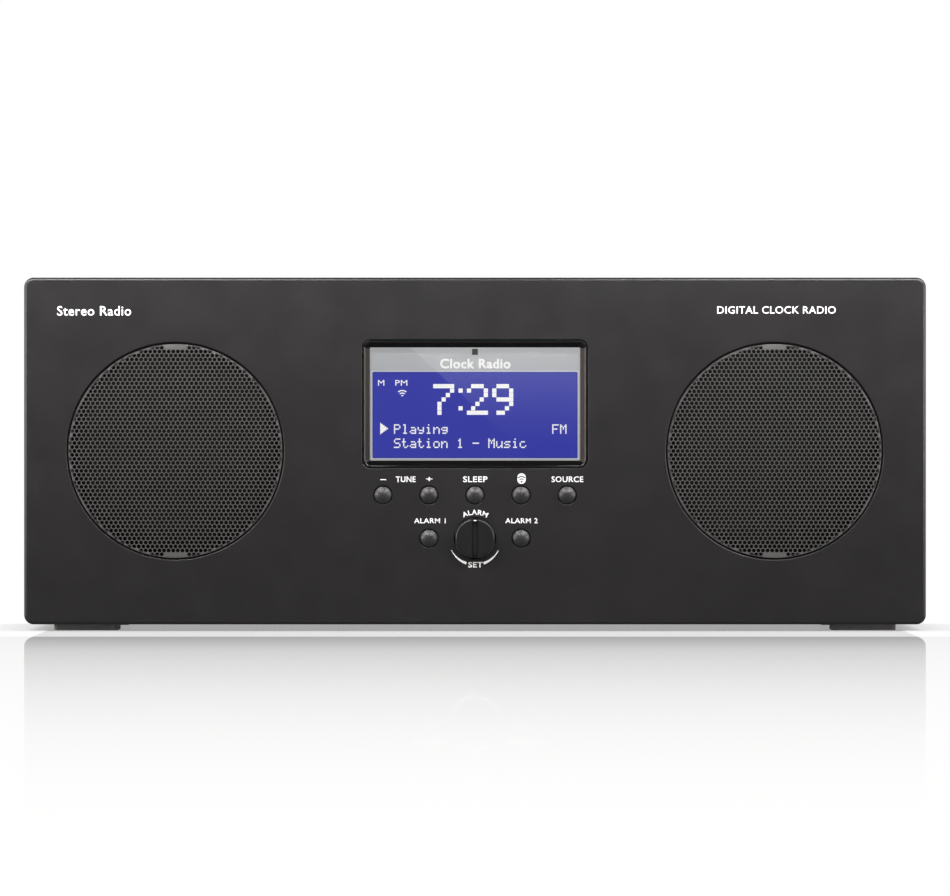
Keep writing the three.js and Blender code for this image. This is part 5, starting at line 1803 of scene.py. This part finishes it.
@dataclass
class WhipAntenna:
    """The telescopic whip: a swivel with two ears and a rivet, three bright tubes, and the tip."""

    flange: float = 6.5
    flange_thickness: float = 1.9
    stem_length: float = 7.2
    stem_radius: float = 3.7
    ear: float = 4.2
    ear_thickness: float = 1.6
    ear_round: float = 0.25
    eye_thickness: float = 4.4
    rivet: float = 1.4
    whip_radius: float = 3.3
    step: float = 0.6
    tube_wall: float = 0.3
    tube_start: float = 5.8

    def build(self) -> None:
        """Makes the whip's pieces."""
        chrome = Finishes.CHROME.material()
        pivot = self._pivot()
        self._base(pivot, chrome)
        outer_low, _ = extent("antenna_outer_tube")
        skin = Skin()
        end = pivot[0] - outer_low[0]
        self._tube(skin, pivot, self.whip_radius, self.tube_start - 0.4, end)
        self._eye(skin, pivot)
        join(skin.mesh("whip_outer_tube"), "antenna_outer_tube", [chrome], ["antenna_outer_tube"])
        for number, name in enumerate(("antenna_middle_tube", "antenna_inner_tube"), 1):
            low, high = extent(name)
            skin = Skin()
            radius = self.whip_radius - number * self.step
            self._tube(skin, pivot, radius, pivot[0] - high[0], pivot[0] - low[0])
            join(skin.mesh("whip_" + name[8:]), name, [chrome], [name])
        self._tip(pivot, chrome)

    def _base(self, pivot: np.ndarray, chrome: bpy.types.Material) -> None:
        """The swivel: a stem and a round flange, two ears with rounded ends, and the rivet."""
        low, _ = extent("antenna_base")
        tall, thick, neck = self.stem_length, self.flange_thickness, self.stem_radius
        face = low[1] + tall
        rim = self.flange
        skin = Skin()
        plate = [(0.0, 0.0), (rim - 0.9, 0.0), (rim - 0.35, 0.12), (rim - 0.08, 0.4), (rim, 0.75)]
        stem = [(rim, thick), (neck, thick), (neck, tall - 0.3), (neck - 0.3, tall), (0.0, tall)]
        skin.turned(rear_seat(pivot[0], face, pivot[2]), [*plate, *stem], 72)
        root, gap = face - pivot[1] - 0.4, self.eye_thickness / 2 + 0.3
        soft, deep = self.ear_round, self.ear_thickness
        stations = ((soft, 0.0), (0.0, soft), (0.0, deep - soft), (soft, deep))
        for side in (-1, 1):
            seat = Seat((pivot[0], pivot[1], pivot[2] + side * gap), (1, 0, 0), (0, 1, 0), (0, 0, side))
            skin.sweep(np.stack([seat.points(self._ear(shrink, root), depth) for shrink, depth in stations]))
            for depth in (0.0, deep):
                skin.fill(seat, [border(self._ear(soft, root))], depth)
        join(
            skin.mesh("whip_swivel"),
            "antenna_base",
            [Finishes.SOCKET.material()],
            ["antenna_base"],
        )
        pin = Skin()
        half = gap + self.ear_thickness - 0.2
        head = [(0.0, 0.0), (0.8, 0.04), (1.2, 0.14), (self.rivet, 0.35)]
        pin.turned(
            top_seat(pivot[0], pivot[1], pivot[2] + half),
            [*head, *((r, 2 * half - d) for r, d in reversed(head))],
            32,
        )
        join(pin.mesh("whip_rivet"), "antenna_base", [chrome])

    def _ear(self, shrink: float, root: float) -> np.ndarray:
        """An ear's outline: half a circle on a straight root.

        Args:
            shrink: How much smaller it is than the ear.
            root: Where the root lies along the outline's second axis.

        Returns:
            The outline's points.
        """
        reach = self.ear - shrink
        angle = np.linspace(0.0, np.pi, 25)
        round_end = np.stack([np.cos(angle), np.sin(angle)], -1) * reach
        return np.concatenate([round_end, [(-reach, root), (reach, root)]])

    def _pivot(self) -> np.ndarray:
        """The middle of the outer tube's eye."""
        low, high = extent("antenna_outer_tube")
        return np.array([high[0] - self.whip_radius, (low[1] + high[1]) / 2, (low[2] + high[2]) / 2])

    def _tube(self, skin: Skin, pivot: np.ndarray, radius: float, start: float, end: float) -> None:
        """A thin tube along the whip, with both ends rounded over."""
        bore = radius - self.tube_wall
        soft = self.tube_wall / 2
        lip = [
            (radius - soft * (1 - np.cos(a)), end - soft + soft * np.sin(a)) for a in np.linspace(0, np.pi, 7)
        ]
        profile = [(radius - 0.1, start), (radius, start + 0.1), *lip, (bore, start)]
        skin.turned(side_seat(*pivot), profile, 56)

    def _eye(self, skin: Skin, pivot: np.ndarray) -> None:
        """The flattened end around the rivet, with the neck that meets the tube."""
        half = self.eye_thickness / 2
        seat = Seat((pivot[0], pivot[1], pivot[2] + half), (1, 0, 0), (0, 1, 0), (0, 0, -1))
        angle = np.linspace(-np.pi / 2, np.pi / 2, 25)
        radius = self.whip_radius - 0.02
        round_end = np.stack([radius * np.cos(angle), radius * np.sin(angle)], -1)
        neck = np.array([(-3.6, 2.9), (-5.9, 2.2), (-5.9, -2.2), (-3.6, -2.9)])
        line = np.concatenate([round_end, neck])
        shrink = 1 - 0.3 / radius
        stations = [(shrink, 0.0), (1.0, 0.3), (1.0, 2 * half - 0.3), (shrink, 2 * half)]
        skin.sweep(np.stack([seat.points(line * s, d) for s, d in stations]))
        skin.fill(seat, [border(line * shrink)], 0.0)
        skin.fill(seat, [border(line * shrink)], 2 * half)
        plug = side_seat(*pivot)
        skin.turned(plug, [(0.0, 4.8), (2.4, 4.8), (3.25, 5.3), (3.25, 6.2), (0.0, 6.2)], 56)

    def _tip(self, pivot: np.ndarray, chrome: bpy.types.Material) -> None:
        """The last rod and its cap, which has a waist and a rounded end."""
        low, high = extent("antenna_tip")
        start, end = pivot[0] - high[0], pivot[0] - low[0]
        rod = self.whip_radius - 3 * self.step
        cap = self.whip_radius
        dome = [(cap * np.cos(a), end - 1.0 + np.sin(a)) for a in np.linspace(0, np.pi / 2, 8)]
        body = [(0.0, start), (rod, start), (rod, end - 4.0), (cap - 0.3, end - 4.0), (cap, end - 3.7)]
        waist = [(cap, end - 3.2), (cap - 0.25, end - 2.9), (cap - 0.25, end - 2.3), (cap, end - 2.0)]
        skin = Skin()
        skin.turned(side_seat(*pivot), [*body, *waist, *dome], 56)
        join(skin.mesh("whip_tip"), "antenna_tip", [chrome], ["antenna_tip"])


@dataclass
class Feet:
    """Four rubber feet with rounded edges."""

    corner: float = 1.5
    rounding: float = 0.35

    def build(self) -> None:
        """Makes the feet."""
        for name in ("front_left_foot", "front_right_foot", "rear_left_foot", "rear_right_foot"):
            low, high = extent(name)
            middle = (low + high) / 2
            seat = Seat((middle[0], middle[1], low[2]), (1, 0, 0), (0, 1, 0), (0, 0, 1))
            skin = Skin()
            outline = rounded(high[0] - low[0], high[1] - low[1], self.corner, 8)
            skin.block(seat, outline, high[2] - low[2], self.rounding)
            join(skin.mesh(name + "_pad"), "root", [Finishes.RUBBER.material()], [name])


@dataclass
class Inside:
    """The pieces inside the cabinet, which keep their frame shapes."""

    def build(self) -> None:
        """Gives every inner piece its finish."""
        sides = ("left", "right")
        dress([f"{side}_speaker_cone" for side in sides], Finishes.CONE.material())
        dress([f"{side}_speaker_surround" for side in sides], Finishes.RUBBER.material())
        dress([f"{side}_speaker_basket" for side in sides], Finishes.BLACK_STEEL.material())
        dress([f"{side}_speaker_magnet" for side in sides], Finishes.FERRITE.material())
        dress(["key_board", "main_board", "top_switch_board"], Finishes.BOARD.material())
        dress(["encoder_shaft", "encoder_body", "tuner_shield"], Finishes.STEEL.material())
        dress(["encoder_plunger"], Finishes.SOCKET.material())
        dress(["display_ribbon"], Finishes.RIBBON.material())
        dress(["battery_pack"], Finishes.WRAP.material())


# ---------------------------------------------------------------- studio


@dataclass
class Studio:
    """A long lens straight in front, a glossy white floor, a white room behind and soft lamps above."""

    distance: float = 3.0
    seen_width: float = 0.3012
    eye_height: float = 0.05795
    floor_half: float = 8.0
    floor_white: float = 0.97
    top_lamp: tuple[float, float, float] = (0.18, 0.09, 0.215)
    top_aim: tuple[float, float] = (0.14, 0.125)
    top_size: tuple[float, float] = (0.32, 0.05)
    top_power: float = 0.40
    top_spread: float = 100.0
    side_lamp: tuple[float, float, float] = (0.265, 0.12, 0.085)
    side_aim: tuple[float, float] = (0.1, 0.06)
    side_size: tuple[float, float] = (0.05, 0.09)
    side_power: float = 0.23
    card_beyond: float = 0.5
    card_length: float = 0.6
    card_width: float = 0.3
    card_turn: float = -43.0
    card_start: tuple[float, float] = (-0.0071, 0.0195)

    def build(self) -> None:
        """Makes the camera, the room, the lamps and the floor."""
        scene = bpy.context.scene
        scene.view_settings.view_transform = "Standard"
        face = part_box("front_panel")[0][1]
        self._camera(scene, face)
        self._room(scene)
        self._lamps(face)
        self._floor()

    def _camera(self, scene: bpy.types.Scene, face: float) -> None:
        """A level camera that sees the given width at the panel's face."""
        data = bpy.data.cameras.new("camera")
        data.lens = data.sensor_width * self.distance / self.seen_width
        data.clip_end = 50.0
        camera = bpy.data.objects.new("camera", data)
        camera.location = (0.0, face - self.distance, self.eye_height)
        camera.rotation_euler = (math.pi / 2, 0.0, 0.0)
        scene.collection.objects.link(camera)
        scene.camera = camera

    def _room(self, scene: bpy.types.Scene) -> None:
        """White as seen, and for other rays white behind the radio, grey at the sides and dark in front."""
        world = scene.world or bpy.data.worlds.new("room")
        scene.world = world
        recipe = Recipe("room", world)
        way = recipe.node("SeparateXYZ", Vector=recipe.wire(recipe.node("TexCoord"), "Generated"))
        x, y, z = (recipe.wire(way, k) for k in range(3))
        behind = y.step(-0.02, 0.2) * (1.0 - z.step(0.35, 0.8))
        level_side = (1.0 - y.step(0.06, 0.16)) * 3.2 + 0.9 - x * 0.6
        beside = abs(x).step(0.75, 0.95) * level_side * (1.0 - abs(z).step(0.3, 0.9))
        above = z.step(0.15, 0.6) * 0.06
        level = behind.most(beside).most(above).most(0.05)
        seen = recipe.wire(recipe.node("LightPath"), "Is Camera Ray")
        tint = recipe.colours(abs(x).step(0.6, 0.8) * (1.0 - seen), (1.0, 1.0, 1.0), (1.0, 0.84, 0.78))
        shader = recipe.node("Background", Color=tint, Strength=level.most(seen))
        recipe.show(shader)

    def _lamps(self, face: float) -> None:
        """Two soft lamps above and in front, one at each side, and a card that the lens reflects."""
        out, ahead, height = self.top_lamp
        side_out, side_ahead, side_height = self.side_lamp
        for side in (-1, 1):
            aim = (side * self.top_aim[0], face, self.top_aim[1])
            self._lamp(
                (side * out, face - ahead, height), aim, self.top_size, self.top_power, self.top_spread
            )
            place = (side * side_out, face - side_ahead, side_height)
            self._lamp(
                place, (side * self.side_aim[0], face, self.side_aim[1]), self.side_size, self.side_power
            )
        self._card(face)

    def _lamp(
        self,
        place: tuple[float, float, float],
        aim: tuple[float, float, float],
        size: tuple[float, float],
        power: float,
        spread: float = 180.0,
    ) -> bpy.types.Object:
        """A rectangular lamp.

        Args:
            place: Its middle.
            aim: The point that it faces.
            size: Its width and height.
            power: Its power, in watts.
            spread: How wide its light opens, in degrees.

        Returns:
            The lamp.
        """
        data = bpy.data.lights.new("lamp", "AREA")
        data.shape, data.size, data.size_y, data.energy = "RECTANGLE", *size, power
        data.spread = math.radians(spread)
        lamp = bpy.data.objects.new("lamp", data)
        lamp.location = place
        turned = (Vector(aim) - Vector(place)).to_track_quat("-Z", "Y")
        lamp.rotation_euler = turned.to_euler()
        lamp.visible_camera = False
        bpy.context.scene.collection.objects.link(lamp)
        return lamp

    def _card(self, face: float) -> None:
        """A white card behind the camera, which the lens shows as a slanting line that fades downward."""
        beyond, long, wide = self.card_beyond, self.card_length, self.card_width
        scale = (2 * self.distance + beyond) / self.distance
        turn = math.radians(self.card_turn)
        along = np.array([math.cos(turn), math.sin(turn)])
        across = np.array([-along[1], along[0]])
        start = np.array(self.card_start) * scale + (0.0, self.eye_height)
        flat = np.array(
            [start + u * along + v * across for u, v in ((-long, 0), (long, 0), (long, wide), (-long, wide))]
        )
        corners = np.insert(flat, 1, face - self.distance - beyond, axis=1)
        mesh = bpy.data.meshes.new("card")
        mesh.from_pydata(corners, [], [(0, 1, 2, 3)])
        card = bpy.data.objects.new("card", mesh)
        bpy.context.scene.collection.objects.link(card)
        recipe = Recipe("white_card")
        height = recipe.axes()[2]
        glow = recipe.node("Emission", Color=(1.0, 1.0, 1.0), Strength=height.step(0.05, 0.15) * 1.25)
        mesh.materials.append(recipe.show(glow))
        card.visible_camera = False

    def _floor(self) -> None:
        """A white floor whose gloss fades with the distance from the radio, forward of it, and whose glow is
        darkened near the radio by ambient occlusion, as a painted contact shadow.
        """
        corners = np.array([(-1, -1, 0), (1, -1, 0), (1, 1, 0), (-1, 1, 0)]) * self.floor_half
        mesh = bpy.data.meshes.new("floor")
        mesh.from_pydata(corners, [], [(0, 1, 2, 3)])
        floor = bpy.data.objects.new("floor", mesh)
        bpy.context.scene.collection.objects.link(floor)
        recipe = Recipe("white_floor")
        x, y, _ = recipe.axes()
        seen = recipe.wire(recipe.node("LightPath"), "Is Camera Ray")
        fade = (1.0 + y / 1.7).clamped() ** 2.0 * 0.583 + y.step(-0.4, -0.08) * 0.17
        fore = (1.0 - y.step(-0.165, -0.15) * 0.55) * (1.0 - y.step(-0.062, -0.04) * 0.95)
        gloss_share = fade * fore * (1.0 - abs(x).step(0.155, 0.2)) * seen
        grain = recipe.noise(recipe.place(), 3.0, 2)
        # painted shadow: ambient occlusion darkens the floor's emission under and around the radio
        near = recipe.wire(recipe.node("AmbientOcclusion", {"samples": 8}, Distance=0.03), "AO")
        matt = recipe.node(
            "BsdfPrincipled",
            Base_Color=(0.09, 0.09, 0.09),
            Roughness=grain * 0.1 + 0.7,
            Emission_Color=(1.0, 1.0, 1.0),
            Emission_Strength=(seen * (self.floor_white - 0.2) + 0.2) * (near * 0.62 + 0.38),
        )
        matt.inputs["Specular IOR Level"].default_value = 0.0
        gloss = recipe.node("BsdfGlossy", Roughness=0.02)
        mixed = recipe.node("MixShader", i0=gloss_share, i1=recipe.wire(matt), i2=recipe.wire(gloss))
        mesh.materials.append(recipe.show(mixed))


# ---------------------------------------------------------------- the whole radio


def main() -> None:
    """Builds the studio and then every sub-assembly."""
    logging.basicConfig(level=logging.INFO, format="%(name)s: %(message)s", stream=sys.stdout)
    Studio().build()
    parts = (
        CabinetSleeve(),
        FrontPanel(),
        Grille("left_grille"),
        Grille("right_grille"),
        DisplayWindow(),
        Controls(),
        TopKeys(),
        RearPanel(),
        WhipAntenna(),
        Feet(),
        Inside(),
    )
    for part in parts:
        part.build()
        log.info("%s is in place", type(part).__name__)


if __name__ == "__main__":
    main()
